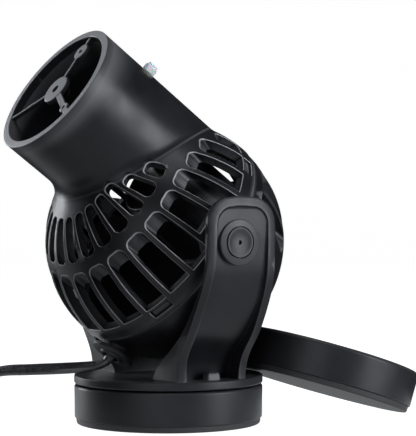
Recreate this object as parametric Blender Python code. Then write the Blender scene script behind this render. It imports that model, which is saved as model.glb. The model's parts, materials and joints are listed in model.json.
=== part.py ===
"""Aquarium wave maker pump on a magnetic swivel base, with its loose outer magnet, cord, switch and plug.

Lengths are in millimetres up to the point where a mesh is made. +Z is up, the nozzle points to -Y and
upwards, and the tilt axis runs along X. The pump's own parts are drawn in a tilted frame: X is the tilt
axis, Z the nozzle's direction and Y square to both, with its origin in the middle of the ball.
"""

from math import asin, atan2, ceil, cos, pi, radians, sin, sqrt

import bmesh
import bpy
from mathutils import Matrix, Vector

MM = 0.001
GAP = 0.3

# Ball, nozzle and tilt
BALL_R = 42.1
WALL = 2.2
PIVOT_Y, PIVOT_Z = -1.3, 62.8
NOZZLE_RISE = 36.1
NOZZLE_OFFSET = 15.7
NOZZLE_R = 24.6
NOZZLE_END = 64.6
GUARD_DEPTH = 2.8
NECK_FILLET = 7.5
CAGE_SIDES = 36

# Slots in the ball, counted in steps of 15 degrees from the nozzle's side
SLOT_STEP = 15
LONG_SLOT_WIDTH, SHORT_SLOT_WIDTH = 11.2, 9.4
REAR_SLOTS_TO = 60
LATCH_ANGLES = (45, 135, 225, 315)
TRUNNION_R = 8.0
CORD_HOLE_R, CORD_HOLE_DROP = 4.3, 5.7

# Yoke and base
PLATE_R, PLATE_LOW, PLATE_TOP = 32.5, 13.9, 16.7
BASE_R, BASE_TOP, PAD_R, PAD_TOP = 32.4, 13.3, 31.8, 1.9
ARM_RIM, ARM_SLOPE = 2.6, 0.5
HOLE_SIDES = 24

# Outer magnet, leaning on the plate's edge
DRY_TILT, DRY_TURN = 17.5, 84.0
DRY_X, DRY_Y = 15.0, 53.7
DRY_TOP = 14.4

# Cord
CORD_WIDE, CORD_THICK = 4.8, 2.6
COIL_X, COIL_Y, COIL_R = -9.0, -113.0, 34.0
SWITCH_LONG, SWITCH_WIDE, SWITCH_HIGH, SWITCH_SPLIT = 58.0, 25.4, 15.0, 7.4
SWITCH_X, SWITCH_Y, SWITCH_Z = -9.0, -132.5, 6.9
ROCKER_Z, ROCKER_TILT = 11.4, 8.0
PLUG_X, PLUG_Y, PLUG_Z = -12.0, -96.6, 15.4

RISE = radians(NOZZLE_RISE)
PUMP = Matrix(
    (
        (1, 0, 0, 0),
        (0, sin(RISE), -cos(RISE), PIVOT_Y * MM),
        (0, cos(RISE), sin(RISE), PIVOT_Z * MM),
        (0, 0, 0, 1),
    )
)
NOZZLE = PUMP @ Matrix.Translation((0, NOZZLE_OFFSET * MM, 0))
DRY = (
    Matrix.Translation((DRY_X * MM, DRY_Y * MM, PAD_R * sin(radians(DRY_TILT)) * MM + 0.00005))
    @ Matrix.Rotation(radians(DRY_TURN), 4, "Z")
    @ Matrix.Rotation(radians(DRY_TILT), 4, "Y")
)
PIVOT = Matrix.Translation((0, PIVOT_Y * MM, PIVOT_Z * MM))
TABLE = Matrix.Identity(4)


def clear_scene():
    for thing in list(bpy.data.objects):
        bpy.data.objects.remove(thing, do_unlink=True)


def material(name, colour, roughness, metallic=0.0, alpha=1.0):
    made = bpy.data.materials.new(name)
    made.use_nodes = True
    shader = made.node_tree.nodes["Principled BSDF"]
    shader.inputs["Base Color"].default_value = (*colour, 1)
    shader.inputs["Roughness"].default_value = roughness
    shader.inputs["Metallic"].default_value = metallic
    shader.inputs["Alpha"].default_value = alpha
    return made


def solid(name, points, faces, colour, where=TABLE):
    """One closed body from points in millimetres, placed by a matrix."""
    mesh = bpy.data.meshes.new(name)
    mesh.from_pydata([[c * MM for c in p] for p in points], [], faces)
    shape = bmesh.new()
    shape.from_mesh(mesh)
    bmesh.ops.remove_doubles(shape, verts=shape.verts, dist=1e-7)
    bmesh.ops.recalc_face_normals(shape, faces=shape.faces)
    shape.to_mesh(mesh)
    shape.free()
    thing = bpy.data.objects.new(name, mesh)
    bpy.context.scene.collection.objects.link(thing)
    thing.matrix_world = where
    mesh.materials.append(colour)
    return thing


def tool(name, points, faces, where=TABLE):
    """A body that only cuts or joins others."""
    thing = solid(name, points, faces, TOOLS, where)
    thing.hide_render = True
    thing.display_type = "WIRE"
    return thing


def combine(thing, other, how):
    step = thing.modifiers.new(how.lower() + "_" + other.name, "BOOLEAN")
    step.object = other
    step.operation = how
    step.solver = "EXACT"
    return step


def many(bodies):
    """Points and faces of several bodies as one list."""
    points, faces = [], []
    for some, sides in bodies:
        faces += [tuple(len(points) + i for i in side) for side in sides]
        points += some
    return points, faces


def turned(profile, sides=40, centre=(0.0, 0.0), start=0.0):
    """A closed loop of (radius, height) turned about an upright axis."""
    cx, cy = centre
    points, rings = [], []
    for radius, height in profile:
        if radius < 1e-6:
            rings.append([len(points)] * sides)
            points.append((cx, cy, height))
            continue
        rings.append(list(range(len(points), len(points) + sides)))
        for k in range(sides):
            a = start + 2 * pi * k / sides
            points.append((cx + radius * cos(a), cy + radius * sin(a), height))
    faces = []
    for low, high in zip(rings, rings[1:] + rings[:1]):
        for k in range(sides):
            loop = [low[k], low[(k + 1) % sides], high[(k + 1) % sides], high[k]]
            face = list(dict.fromkeys(loop))
            if len(face) > 2:
                faces.append(face)
    return points, faces


def extruded(outline, low, high):
    """An outline of (x, y) drawn up from one height to another."""
    n = len(outline)
    points = [(x, y, low) for x, y in outline] + [(x, y, high) for x, y in outline]
    sides = [(i, (i + 1) % n, n + (i + 1) % n, n + i) for i in range(n)]
    return points, [tuple(range(n - 1, -1, -1)), tuple(range(n, 2 * n))] + sides


def lofted(sections):
    """Closed loops of equal count skinned one to the next and capped."""
    n = len(sections[0])
    points = [p for loop in sections for p in loop]
    faces = [tuple(range(n - 1, -1, -1)), tuple(range(len(points) - n, len(points)))]
    for k in range(len(sections) - 1):
        for i in range(n):
            j = (i + 1) % n
            faces.append((k * n + i, k * n + j, (k + 1) * n + j, (k + 1) * n + i))
    return points, faces


def cuboid(low, high):
    (x0, y0, z0), (x1, y1, z1) = low, high
    return extruded([(x0, y0), (x1, y0), (x1, y1), (x0, y1)], z0, z1)


def moved(body, matrix):
    points, faces = body
    return [tuple(matrix @ Vector(p)) for p in points], faces


def round_bar(radius, low, high, along, sides=HOLE_SIDES):
    """A cylinder from one point to another along X, Y or Z."""
    bar = turned([(0, low), (radius, low), (radius, high), (0, high)], sides)
    turn = {"X": Matrix.Rotation(pi / 2, 4, "Y"), "Y": Matrix.Rotation(-pi / 2, 4, "X"), "Z": TABLE}
    return moved(bar, turn[along])


def rounded_box(long, wide, radius, steps=4):
    """A rectangle's outline with round corners."""
    outline = []
    for sx, sy, first in ((1, 1, 0), (-1, 1, 90), (-1, -1, 180), (1, -1, 270)):
        for k in range(steps + 1):
            a = radians(first + 90 * k / steps)
            outline.append(
                (sx * (long / 2 - radius) + radius * cos(a), sy * (wide / 2 - radius) + radius * sin(a))
            )
    return outline


# ---- pump cage ----


def cage_profile(turn, wall, end, balls=4, bends=3):
    """Half-section of ball, neck and nozzle, at an angle about the nozzle's axis: (radius, height)."""
    ball, tube, bend = BALL_R - wall, NOZZLE_R - wall, NECK_FILLET + wall
    middle = -NOZZLE_OFFSET * cos(turn)
    slice_r = sqrt(ball**2 - (NOZZLE_OFFSET * sin(turn)) ** 2)
    across = tube + bend - middle
    height = sqrt((slice_r + bend) ** 2 - across**2)
    top = atan2(height, across)
    found = []
    for k in range(balls + 1):
        a = top * k / balls
        found.append((middle + slice_r * cos(a), slice_r * sin(a)))
    for k in range(1, bends + 1):
        a = pi + top * (1 - k / bends)
        found.append((tube + bend + bend * cos(a), height + bend * sin(a)))
    found.append((tube, end))
    return found


def cage_turns():
    """Angles about the nozzle that space the seam's points evenly around the ball."""
    turns = []
    for k in range(CAGE_SIDES):
        a = 2 * pi * k / CAGE_SIDES
        turns.append(atan2(BALL_R * sin(a), BALL_R * cos(a) - NOZZLE_OFFSET))
    return turns


def front_shell():
    end = NOZZLE_END - GUARD_DEPTH - GAP
    points, loops = [], []
    for turn in cage_turns():
        outside = cage_profile(turn, 0.0, end)
        inside = cage_profile(turn, WALL, end)
        loop = outside + inside[::-1]
        loops.append(range(len(points), len(points) + len(loop)))
        for radius, height in loop:
            points.append((radius * sin(turn), NOZZLE_OFFSET + radius * cos(turn), height))
    faces = []
    for one, two in zip(loops, loops[1:] + loops[:1]):
        n = len(one)
        for i in range(n):
            faces.append((one[i], one[(i + 1) % n], two[(i + 1) % n], two[i]))
    return points, faces


def slot_wedge(step_angle, width, low, high, tip=0.0):
    """A wedge out of the ball's middle, between two heights on the ball, with cut or square ends."""
    lows, highs = asin(low / BALL_R), asin(high / BALL_R)
    half = radians(width) / 2
    corners = [(-half, lows), (half, lows)]
    if tip:
        bevel = (highs - lows) * 0.16
        corners += [(half, highs - bevel), (half * 0.5, highs), (-half * 0.5, highs), (-half, highs - bevel)]
        if tip > 1:
            foot = [(half * 0.5, lows), (half, lows + bevel)]
            corners = [(-half, lows + bevel), (-half * 0.5, lows)] + foot + corners[2:]
    else:
        corners += [(half, highs), (-half, highs)]
    loops = []
    for distance in (BALL_R - 7, BALL_R + 8):
        loop = []
        for side, up in corners:
            a = radians(step_angle) + side
            loop.append(
                (distance * cos(up) * sin(a), distance * cos(up) * cos(a), distance * sin(up))
            )
        loops.append(loop)
    return lofted(loops)


def long_slots():
    """The cage's long slots: their upper end stops where the nozzle joins the ball."""
    tops = {30: 14.6, 45: 21.0, 60: 24.0}
    cuts = []
    for k in range(24):
        angle = k * SLOT_STEP
        aside = min(angle, 360 - angle)
        if aside < 30:
            continue
        low = 10.6 if aside == 90 else 5.0
        cuts.append(slot_wedge(angle, LONG_SLOT_WIDTH, low, tops.get(aside, 25.4), 1.0))
    return many(cuts)


def short_slots():
    tops = {75: 32.6, 90: 35.2}
    cuts = []
    for k in range(24):
        angle = k * SLOT_STEP
        aside = min(angle, 360 - angle)
        if aside >= 75:
            cuts.append(slot_wedge(angle, SHORT_SLOT_WIDTH, 28.2, tops.get(aside, 37.2), 2.0))
    return many(cuts)


def latch_windows():
    return many([slot_wedge(a, 11.0, 1.2, 4.2) for a in LATCH_ANGLES])


def latch_tongues():
    """Hooked tongues that reach up inside the cage and fill its four latch windows."""
    outline = [
        (38.0, -5), (40.8, -5), (40.8, -1.0), (39.4, -1.0),
        (39.4, 1.6), (41.4, 1.6), (41.4, 3.8), (38.0, 3.8),
    ]
    found = []
    stand = Matrix(((1, 0, 0, 0), (0, 0, 1, 0), (0, 1, 0, 0), (0, 0, 0, 1)))
    for angle in LATCH_ANGLES:
        turn = Matrix.Rotation(radians(90 - angle), 4, "Z")
        found.append(moved(extruded(outline, -3.4, 3.4), turn @ stand))
    return many(found)


def rear_shell():
    rings = 5
    outside, inside = [], []
    first = asin(GAP / BALL_R)
    for k in range(rings + 1):
        a = first + (pi / 2 - first) * k / rings
        outside.append((BALL_R * cos(a), -BALL_R * sin(a)))
    for k in range(rings + 1):
        inner = BALL_R - WALL
        low = asin(GAP / inner)
        a = low + (pi / 2 - low) * k / rings
        inside.append((inner * cos(a), -inner * sin(a)))
    return turned(outside + inside[::-1], CAGE_SIDES)


def rear_slots():
    cuts = []
    for k in range(24):
        angle = k * SLOT_STEP
        aside = min(angle, 360 - angle)
        if aside > REAR_SLOTS_TO:
            continue
        points, faces = slot_wedge(angle, LONG_SLOT_WIDTH, 5.0, 26.0, 1.0)
        cuts.append(([(x, y, -z) for x, y, z in points], faces))
    return many(cuts)


def make_cage():
    cage = solid("front_cage", *front_shell(), SHELL, PUMP)
    for name, cut in (
        ("long_slot_cutter", long_slots()),
        ("short_slot_cutter", short_slots()),
        ("latch_cutter", latch_windows()),
    ):
        combine(cage, tool(name, *cut, PUMP), "DIFFERENCE")
    seats = many([round_bar(TRUNNION_R + GAP, side * 30, side * 50, "X", 32) for side in (-1, 1)])
    seat = tool("trunnion_seat_cutter", *seats, PUMP)
    combine(cage, seat, "DIFFERENCE")

    rear = solid("rear_cage", *rear_shell(), REAR, PUMP)
    combine(rear, tool("rear_slot_cutter", *rear_slots(), PUMP), "DIFFERENCE")
    collar = tool("collar", *turned([(15.9, -45), (17.9, -45), (17.9, -11), (15.9, -11)], 28), NOZZLE)
    reach = BALL_R - 0.8
    half_round = [(reach * cos(a), reach * sin(a)) for a in [radians(-90 + 15 * k) for k in range(1, 12)]]
    limit = tool("collar_limit", *turned([(0, -reach)] + half_round + [(0, reach)], 32), PUMP)
    combine(collar, limit, "INTERSECT")
    combine(rear, collar, "UNION")
    combine(rear, tool("latch_tongues", *latch_tongues(), PUMP), "UNION")
    combine(rear, seat, "DIFFERENCE")
    drop = Matrix.Translation((0, 0, -CORD_HOLE_DROP))
    outlet = tool("cord_hole_cutter", *moved(round_bar(CORD_HOLE_R, -50, -30, "Y"), drop), PUMP)
    notch = tool("collar_notch_cutter", *cuboid((-3.2, -7, -32), (3.2, 4, -21)), PUMP)
    for cut in (outlet, notch):
        combine(rear, cut, "DIFFERENCE")


def make_trunnions():
    for name, side in (("trunnion_right", 1), ("trunnion_left", -1)):
        profile = [(3.3, 41.9), (7.4, 41.9), (8.0, 41.3), (8.0, 34.0), (0, 34.0), (0, 35.8), (3.3, 35.8)]
        turn = Matrix.Rotation(side * pi / 2, 4, "Y")
        solid(name, *moved(turned(profile, 24), turn), REAR, PUMP)


def arm_bar(angle, half, low, high, first, last):
    """A guard's arm: a flat bar out from the hub, seen from the front."""
    a = radians(angle)
    out, side = Vector((sin(a), cos(a))), Vector((cos(a), -sin(a)))
    corners = []
    for reach, across in ((first, half), (last, half), (last, -half), (first, -half)):
        corners.append(tuple(out * reach + side * across))
    return extruded(corners, low, high)


def make_guard():
    top, low, reach = NOZZLE_END, NOZZLE_END - GUARD_DEPTH, 22.6
    ring = [
        (21.8, low), (NOZZLE_R, low), (NOZZLE_R, top - 0.9), (23.9, top - 0.15), (23.2, top),
        (22.3, top - 0.1), (21.8, top - 0.6),
    ]
    hub = [(0, 58.4), (3.9, 58.4), (3.9, 62.6), (5.4, 62.6), (5.4, 64.3), (0, 64.3)]
    high_spot = (0.0, 16.0)
    low_spot = (16.6 * sin(radians(120)), 16.6 * cos(radians(120)))
    high_eye = turned([(0, 62.8), (3.1, 62.8), (3.1, 64.2), (0, 64.2)], 16, high_spot)
    low_eye = turned([(0, 62.85), (1.9, 62.85), (1.9, 64.12), (0, 64.12)], 12, low_spot)
    guard = solid("front_guard", *turned(ring, 40), RIM, NOZZLE)
    for name, body in (
        ("guard_arm_one", arm_bar(0, 0.6, 62.7, 64.1, 3, reach)),
        ("guard_arm_two", arm_bar(240, 0.6, 62.65, 64.15, 3, reach)),
        ("guard_arm_three", arm_bar(120, 1.1, 62.75, 64.05, 3, reach)),
        ("guard_hub", turned(hub, 24)),
        ("guard_eyelets", many([high_eye, low_eye])),
    ):
        combine(guard, tool(name, *body, NOZZLE), "UNION")
    holes = []
    for radius, sides, spot in ((0.9, 12, (0.0, 0.0)), (0.8, 10, high_spot), (0.65, 10, low_spot)):
        holes.append(turned([(0, 60.0), (radius, 60.0), (radius, 70), (0, 70)], sides, spot))
    combine(guard, tool("guard_hole_cutter", *many(holes), NOZZLE), "DIFFERENCE")


def make_peg():
    body = cuboid((-1.5, NOZZLE_R + GAP, 41.4), (1.5, NOZZLE_R + 3.2, 45.6))
    solid("nozzle_peg", *moved(body, Matrix.Rotation(radians(-22), 4, "Z")), CLEAR, NOZZLE)


# ---- motor and rotor ----


def make_motor():
    winding = [(8.8, 7.4), (12.8, 7.4), (13.2, 9.8), (12.2, 12.4), (9.6, 12.4), (8.6, 9.8)]
    housing = [
        (6.9, 16), (14.7, 16), (15.5, 15.2), (15.5, -20), (13.9, -20), (13.9, 14), (8.1, 14), (8.1, -13.2),
        (0, -13.2), (0, -12), (6.9, -12),
    ]
    for name, colour, sides, profile in (
        ("motor_housing", MOTOR, 28, housing),
        ("stator_core", STEEL, 24, [(8.5, -9), (13.6, -9), (13.6, 7), (8.5, 7)]),
        ("stator_winding_front", COPPER, 24, winding),
        ("stator_winding_rear", COPPER, 24, [(radius, -2.0 - height) for radius, height in winding]),
        ("front_bush", RUBBER, 24, [(1.62, 12.2), (6.6, 12.2), (6.6, 15.4), (1.62, 15.4)]),
        ("rear_bush", RUBBER, 24, [(1.62, -11.6), (6.4, -11.6), (6.4, -10.4), (1.62, -10.4)]),
    ):
        solid(name, *turned(profile, sides), colour, NOZZLE)
    fill = [(0, -18.8), (13.5, -18.8), (13.5, -14.8), (0, -14.8)]
    lid = [(0, -22.2), (14.6, -22.2), (15.4, -21.4), (15.4, -20.3), (13.5, -20.3), (13.5, -19.3), (0, -19.3)]
    potting = solid("stator_potting", *turned(fill, 24), RESIN, NOZZLE)
    cap = solid("motor_cap", *turned(lid, 28), MOTOR, NOZZLE)
    bore = moved(round_bar(2.9, -30, -16, "Z", 16), Matrix.Translation((0, -8.0, 0)))
    cutter = tool("inner_cord_cutter", *bore, NOZZLE)
    for part in (potting, cap):
        combine(part, cutter, "DIFFERENCE")


def make_rotor():
    nose = [
        (1.8, 47.3), (4.5, 47.3), (4.2, 49.6), (3.0, 51.6), (1.4, 52.6), (0, 52.8), (0, 49.4), (1.8, 49.4),
    ]
    for name, colour, sides, profile in (
        ("rotor_magnet", FERRITE, 24, [(1.8, -9.8), (6.2, -9.8), (6.2, 11.4), (1.8, 11.4)]),
        ("rotor_shaft", CERAMIC, 24, [(0, -11.4), (1.5, -11.4), (1.5, 49.0), (0, 49.0)]),
        ("drive_coupling", REAR, 20, [(1.8, 31.0), (3.4, 31.0), (3.4, 38.2), (2.6, 38.9), (1.8, 38.9)]),
        ("propeller_cap", MOTOR, 20, nose),
    ):
        solid(name, *turned(profile, sides), colour, NOZZLE)
    barrel = [(1.8, 39.2), (4.6, 39.2), (4.6, 47.0), (1.8, 47.0)]
    hub = solid("propeller", *turned(barrel, 24), BLADE, NOZZLE)
    for k in range(3):
        combine(hub, tool(f"blade_{k}", *propeller_blade(radians(120 * k)), NOZZLE), "UNION")


def propeller_blade(start):
    """A twisted blade: its pitch lies down towards the tip."""
    loops = []
    for k in range(6):
        radius = 3.6 + 16.6 * k / 5
        pitch = radians(56 - 30 * k / 5)
        chord = 3.6 + 3.6 * sin(pi * (0.2 + 0.12 * k))
        section = ((-chord, -0.45), (0, -0.75), (chord, -0.45), (chord, 0.45), (0, 0.75), (-chord, 0.45))
        loop = []
        for along, thick in section:
            side = along * cos(pitch) - thick * sin(pitch)
            up = along * sin(pitch) + thick * cos(pitch)
            up = max(-3.6, min(3.6, up))
            x, y = radius * cos(start) - side * sin(start), radius * sin(start) + side * cos(start)
            loop.append((x, y, 43.1 + up))
        loops.append(loop)
    return lofted(loops)


# ---- yoke ----

ARM_STATIONS = (
    # outside, its height, inside, its height, half-width, how much wider behind, the panel's depth below the rims
    (29.2, 15.6, 12.0, 15.6, 12.7, 1.3, 7.0),
    (29.3, 19.0, 13.2, 18.0, 12.8, 1.3, 6.4),
    (29.8, 22.6, 17.2, 22.2, 13.1, 1.3, 5.6),
    (31.6, 26.2, 23.2, 26.2, 13.3, 1.3, 4.7),
    (36.4, 33.0, 30.6, 32.0, 13.4, 1.6, 3.6),
    (41.9, 43.8, 37.2, 40.6, 12.9, 2.2, 2.6),
    (44.9, 50.6, 41.5, 48.8, 12.4, 2.4, 1.7),
    (46.2, 55.8, 43.2, 54.4, 12.0, 2.5, 1.2),
    (46.2, 63.5, 43.2, 63.5, 11.7, 2.5, 1.0),
    (46.2, 71.4, 43.2, 71.4, 11.6, 2.5, 0.9),
    (46.2, 74.0, 43.2, 74.0, 11.5, 2.3, 0.8),
    (46.2, 75.4, 43.2, 75.4, 11.0, 2.0, 0.0),
    (46.2, 77.0, 43.2, 77.0, 9.4, 1.8, 0.0),
    (46.0, 77.8, 43.4, 77.8, 6.6, 1.8, 0.0),
)


def yoke_arm(side):
    loops = []
    for out, out_z, inn, inn_z, half, behind, recess in ARM_STATIONS:
        low, high = PIVOT_Y - half, PIVOT_Y + half + behind
        rim = ARM_RIM if recess else min(ARM_RIM, half * 0.3)
        panel, foot = out - recess, rim + ARM_SLOPE
        loop = [
            (inn, low, inn_z), (out, low, out_z), (out, low + rim, out_z), (panel, low + foot, out_z),
            (panel, high - foot, out_z), (out, high - rim, out_z), (out, high, out_z), (inn, high, inn_z),
        ]
        loops.append([(side * x, y, z) for x, y, z in loop])
    return lofted(loops)


def make_yoke():
    edge = 0.4
    plate = [
        (2.0, 10.6), (7.0, 10.6), (7.0, PLATE_LOW), (PLATE_R - edge, PLATE_LOW), (PLATE_R, PLATE_LOW + edge),
        (PLATE_R, PLATE_TOP - edge), (PLATE_R - edge, PLATE_TOP), (2.0, PLATE_TOP),
    ]
    yoke = solid("yoke_bracket", *turned(plate, 48), SHELL)
    for name, side in (("arm_right", 1), ("arm_left", -1)):
        combine(yoke, tool(name, *yoke_arm(side)), "UNION")
    pins = many([round_bar(3.3, side * 20, side * 60, "X") for side in (-1, 1)])
    combine(yoke, tool("pin_hole_cutter", *pins, PIVOT), "DIFFERENCE")
    bosses = []
    for side in (-1, 1):
        low = [(side * 27.0, -7.8), (side * 30.6, -7.8), (side * 30.6, -1.2), (side * 27.0, -1.2)]
        top = [(side * 27.4, -6.4), (side * 29.6, -6.4), (side * 29.6, -2.6), (side * 27.4, -2.6)]
        loop = [[(x, y, 16.2) for x, y in low], [(x, y, 18.6) for x, y in top]]
        bosses.append(lofted(loop))
    combine(yoke, tool("plate_bosses", *many(bosses)), "UNION")
    solid("swivel_washer", *turned([(2.0, 9.4), (9.6, 9.4), (9.6, 10.3), (2.0, 10.3)], 32), STEEL)
    screw = [(0, 7.4), (3.4, 7.4), (3.8, 8.0), (3.8, 9.1), (1.7, 9.1), (1.7, 15.6), (0, 15.6)]
    solid("swivel_screw", *turned(screw, 24), STEEL)


def make_pivots():
    washer = [(3.4, 42.3), (7.4, 42.3), (7.4, 42.9), (3.4, 42.9)]
    pin = [
        (0, 37.0), (3.0, 37.0), (3.0, 45.5), (7.0, 45.5), (7.2, 46.4), (6.7, 47.5), (5.3, 47.5), (5.3, 46.5),
        (0, 46.5),
    ]
    cap = [
        (0, 46.8), (4.9, 46.8), (5.0, 47.4), (4.6, 47.9), (3.6, 47.6), (1.2, 47.35), (0.7, 46.95), (0, 46.95),
    ]
    for word, side in (("right", 1), ("left", -1)):
        turn = Matrix.Rotation(side * pi / 2, 4, "Y")
        solid("friction_washer_" + word, *moved(turned(washer, 24), turn), RUBBER, PIVOT)
        solid("pivot_pin_" + word, *moved(turned(pin, 24), turn), SHELL, PIVOT)
        solid("pivot_cap_" + word, *moved(turned(cap, 24), turn), SHELL, PIVOT)


# ---- magnetic base and outer magnet ----


PAD_PROFILE = ((0, 0), (PAD_R - 0.6, 0), (PAD_R, 0.5), (PAD_R, PAD_TOP), (0, PAD_TOP))


def make_base():
    low = PAD_TOP + GAP
    housing = [
        (7.3, 11.4), (30.4, 11.4), (30.4, low), (BASE_R - 0.2, low), (BASE_R, low + 0.3),
        (BASE_R, BASE_TOP - 0.7), (BASE_R - 0.6, BASE_TOP), (7.3, BASE_TOP),
    ]
    solid("base_housing", *turned(housing, 48), SHELL)
    solid("base_magnet", *turned([(11.0, 2.6), (28.5, 2.6), (28.5, 8.6), (11.0, 8.6)], 28), FERRITE)
    solid("base_back_plate", *turned([(11.5, 8.9), (28.8, 8.9), (28.8, 10.9), (11.5, 10.9)], 28), STEEL)
    solid("base_pad", *turned(PAD_PROFILE, 48), RUBBER)


def make_dry_side():
    top = DRY_TOP
    housing = [
        (0, top - 2), (30.4, top - 2), (30.4, 2.2), (32.3, 2.2), (32.5, 2.5),
        (32.5, top - 1.5), (32.1, top - 0.5), (31.1, top), (0, top),
    ]
    solid("outer_housing", *turned(housing, 48), SHELL, DRY)
    solid("outer_magnet", *turned([(0, 2.6), (28.5, 2.6), (28.5, 9.2), (0, 9.2)], 28), FERRITE, DRY)
    solid("outer_back_plate", *turned([(0, 9.5), (28.8, 9.5), (28.8, 11.6), (0, 11.6)], 28), STEEL, DRY)
    solid("outer_pad", *turned(PAD_PROFILE, 48), RUBBER, DRY)


# ---- cord, switch and plug ----


def curve_at(a, b, c, d, t):
    """A Catmull-Rom curve's point between b and c."""
    return tuple(
        0.5 * (2 * q + (r - p) * t + (2 * p - 5 * q + 4 * r - s) * t**2 + (3 * q - p - 3 * r + s) * t**3)
        for p, q, r, s in zip(a, b, c, d)
    )


def smooth(points, step):
    """Points about one step apart on a Catmull-Rom curve, with the last number as the cord's roll."""
    ends = [points[0]] + list(points) + [points[-1]]
    found = []
    for a, b, c, d in zip(ends, ends[1:], ends[2:], ends[3:]):
        length = sqrt(sum((q - p) ** 2 for p, q in zip(b[:3], c[:3])))
        count = max(1, ceil(length / step))
        found += [curve_at(a, b, c, d, k / count) for k in range(count)]
    return found + [points[-1]]


def flat_cord(path):
    """A flat twin cord swept along (x, y, z, roll in degrees)."""
    half, core = CORD_THICK / 2, (CORD_WIDE - CORD_THICK) / 2
    section = []
    for side, first in ((1, -90), (-1, 90)):
        for k in range(4):
            a = radians(first + 60 * k)
            section.append((side * core + half * cos(a), half * sin(a)))
        section.append((0.0, side * half * 0.72))
    spots = [Vector(p[:3]) for p in path]
    loops = []
    for k, spot in enumerate(spots):
        ahead = (spots[min(k + 1, len(spots) - 1)] - spots[max(k - 1, 0)]).normalized()
        across = ahead.cross(Vector((0, 0, 1))).normalized()
        upward = across.cross(ahead)
        roll = radians(path[k][3])
        wide = across * cos(roll) + upward * sin(roll)
        thick = upward * cos(roll) - across * sin(roll)
        loops.append([tuple(spot + wide * x + thick * y) for x, y in section])
    return lofted(loops)


INNER_PATH = (
    (0, 7.7, -18.0, 0), (0, 6.2, -24.0, 0), (0, -6.8, -27.0, 0), (0, -22.8, -22.0, 0), (0, -32.2, -12.0, 0),
    (0, -36.1, -6.4, 0),
)
LEAD_PATH = (
    (0.0, -19.6, 28.4, 0), (0.0, -23.4, 23.2, 0), (-0.6, -24.9, 21.6, 8), (-2.4, -26.6, 20.7, 16),
    (-5.6, -29.6, 20.0, 26), (-11.0, -36.6, 19.4, 32), (-20.4, -43.0, 18.6, 32), (-31.6, -48.6, 17.4, 28),
    (-42.5, -54.6, 13.6, 18), (-51.0, -62.5, 8.6, 10), (-56.6, -72.0, 4.4, 4), (-59.0, -82.0, 1.9, 0),
    (-59.2, -88.0, 1.6, 0),
)
RUN_PATH = (
    (-59.2, -88.4, 1.6, 0), (-58.6, -98.0, 1.6, 0), (-57.0, -108.0, 1.6, 0), (-54.9, -116.0, 1.6, 0),
    (-52.6, -124.0, 1.6, 0),
)
SWITCH_PATH = (
    (-35.5, -88.2, 8.0, 0), (-42.6, -95.0, 8.0, 0), (-48.9, -103.4, 8.4, 0), (-52.6, -112.0, 9.4, 0),
    (-53.0, -119.6, 11.0, 0), (-50.0, -126.4, 12.6, 0), (-44.4, -131.0, 13.9, 0), (-36.4, -132.5, 14.5, 0),
)
PLUG_PATH = (
    (18.4, -132.5, 14.5, 0), (24.6, -132.2, 13.9, 0), (33.6, -128.6, 11.6, 0), (38.6, -120.4, 9.8, 0),
    (38.4, -110.0, 10.0, 0), (32.6, -100.6, 12.4, 0), (24.0, -97.0, 14.8, 0), (16.6, -96.6, 15.4, 0),
    (8.4, -96.6, 15.4, 0),
)


def make_cord():
    flange = [
        (7.4, 42.5), (7.6, 42.8), (7.6, 43.7), (7.2, 44.0), (4.2, 44.0), (4.0, 44.7), (2.95, 44.7),
    ]
    gland = [(2.95, 36.6), (4.0, 36.6), (4.0, 42.5)] + flange
    down = Matrix.Translation((0, 0, -CORD_HOLE_DROP)) @ Matrix.Rotation(pi / 2, 4, "X")
    solid("cord_gland", *moved(turned(gland, 20), down), RUBBER, PUMP)
    solid("cord_lead", *flat_cord(smooth(LEAD_PATH, 9.0)), CORD)
    solid("cord_run", *flat_cord(smooth(RUN_PATH, 12.0)), CORD)
    solid("cord_inner", *inner_cord(smooth(INNER_PATH, 8.0)), CORD, PUMP)


def inner_cord(path):
    """The cord inside the ball, in the plane square to the tilt axis."""
    spots = [Vector(p[:3]) for p in path]
    loops = []
    for k, spot in enumerate(spots):
        ahead = (spots[min(k + 1, len(spots) - 1)] - spots[max(k - 1, 0)]).normalized()
        across = Vector((1, 0, 0))
        upward = across.cross(ahead)
        loop = []
        for j in range(8):
            a = 2 * pi * j / 8
            loop.append(tuple(spot + across * 2.3 * cos(a) + upward * 1.3 * sin(a)))
        loops.append(loop)
    return lofted(loops)


def make_coil():
    outer, inner = COIL_R + 7.4, COIL_R - 7.4
    profile = [
        (inner, 1.8), (inner + 0.9, 1.0), (outer - 0.9, 1.0), (outer, 1.8), (outer, 3.2), (outer - 0.5, 3.7),
        (outer, 4.2), (outer, 5.7), (outer - 0.9, 6.5), (inner + 0.9, 6.5), (inner, 5.7),
    ]
    solid("cord_coil", *turned(profile, 32, (COIL_X, COIL_Y)), CORD)
    outside, inside = rounded_box(16.9, 7.3, 2.0, 2), rounded_box(15.5, 6.1, 1.4, 2)
    n = len(outside)
    points = [(x, y, z) for z in (-2.5, 2.5) for x, y in outside]
    points += [(x, y, z) for z in (-2.5, 2.5) for x, y in inside]
    faces = []
    for i in range(n):
        j = (i + 1) % n
        faces += [
            (i, j, n + j, n + i), (2 * n + i, 3 * n + i, 3 * n + j, 2 * n + j),
            (i, 2 * n + i, 2 * n + j, j), (n + i, n + j, 3 * n + j, 3 * n + i),
        ]
    turn = Matrix.Translation((COIL_X + COIL_R, COIL_Y, 3.7)) @ Matrix.Rotation(pi / 2, 4, "X")
    solid("cord_tie", *moved((points, faces), turn), RUBBER)


def switch_loops(steps, softness):
    """Rounded rectangles of the switch's plan, each shrunk and at its height."""
    loops = []
    for shrink, z in steps:
        outline = rounded_box(SWITCH_LONG - 2 * shrink, SWITCH_WIDE - 2 * shrink, 3.6 - shrink * softness)
        loops.append([(x, y, z) for x, y in outline])
    return loops


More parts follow.
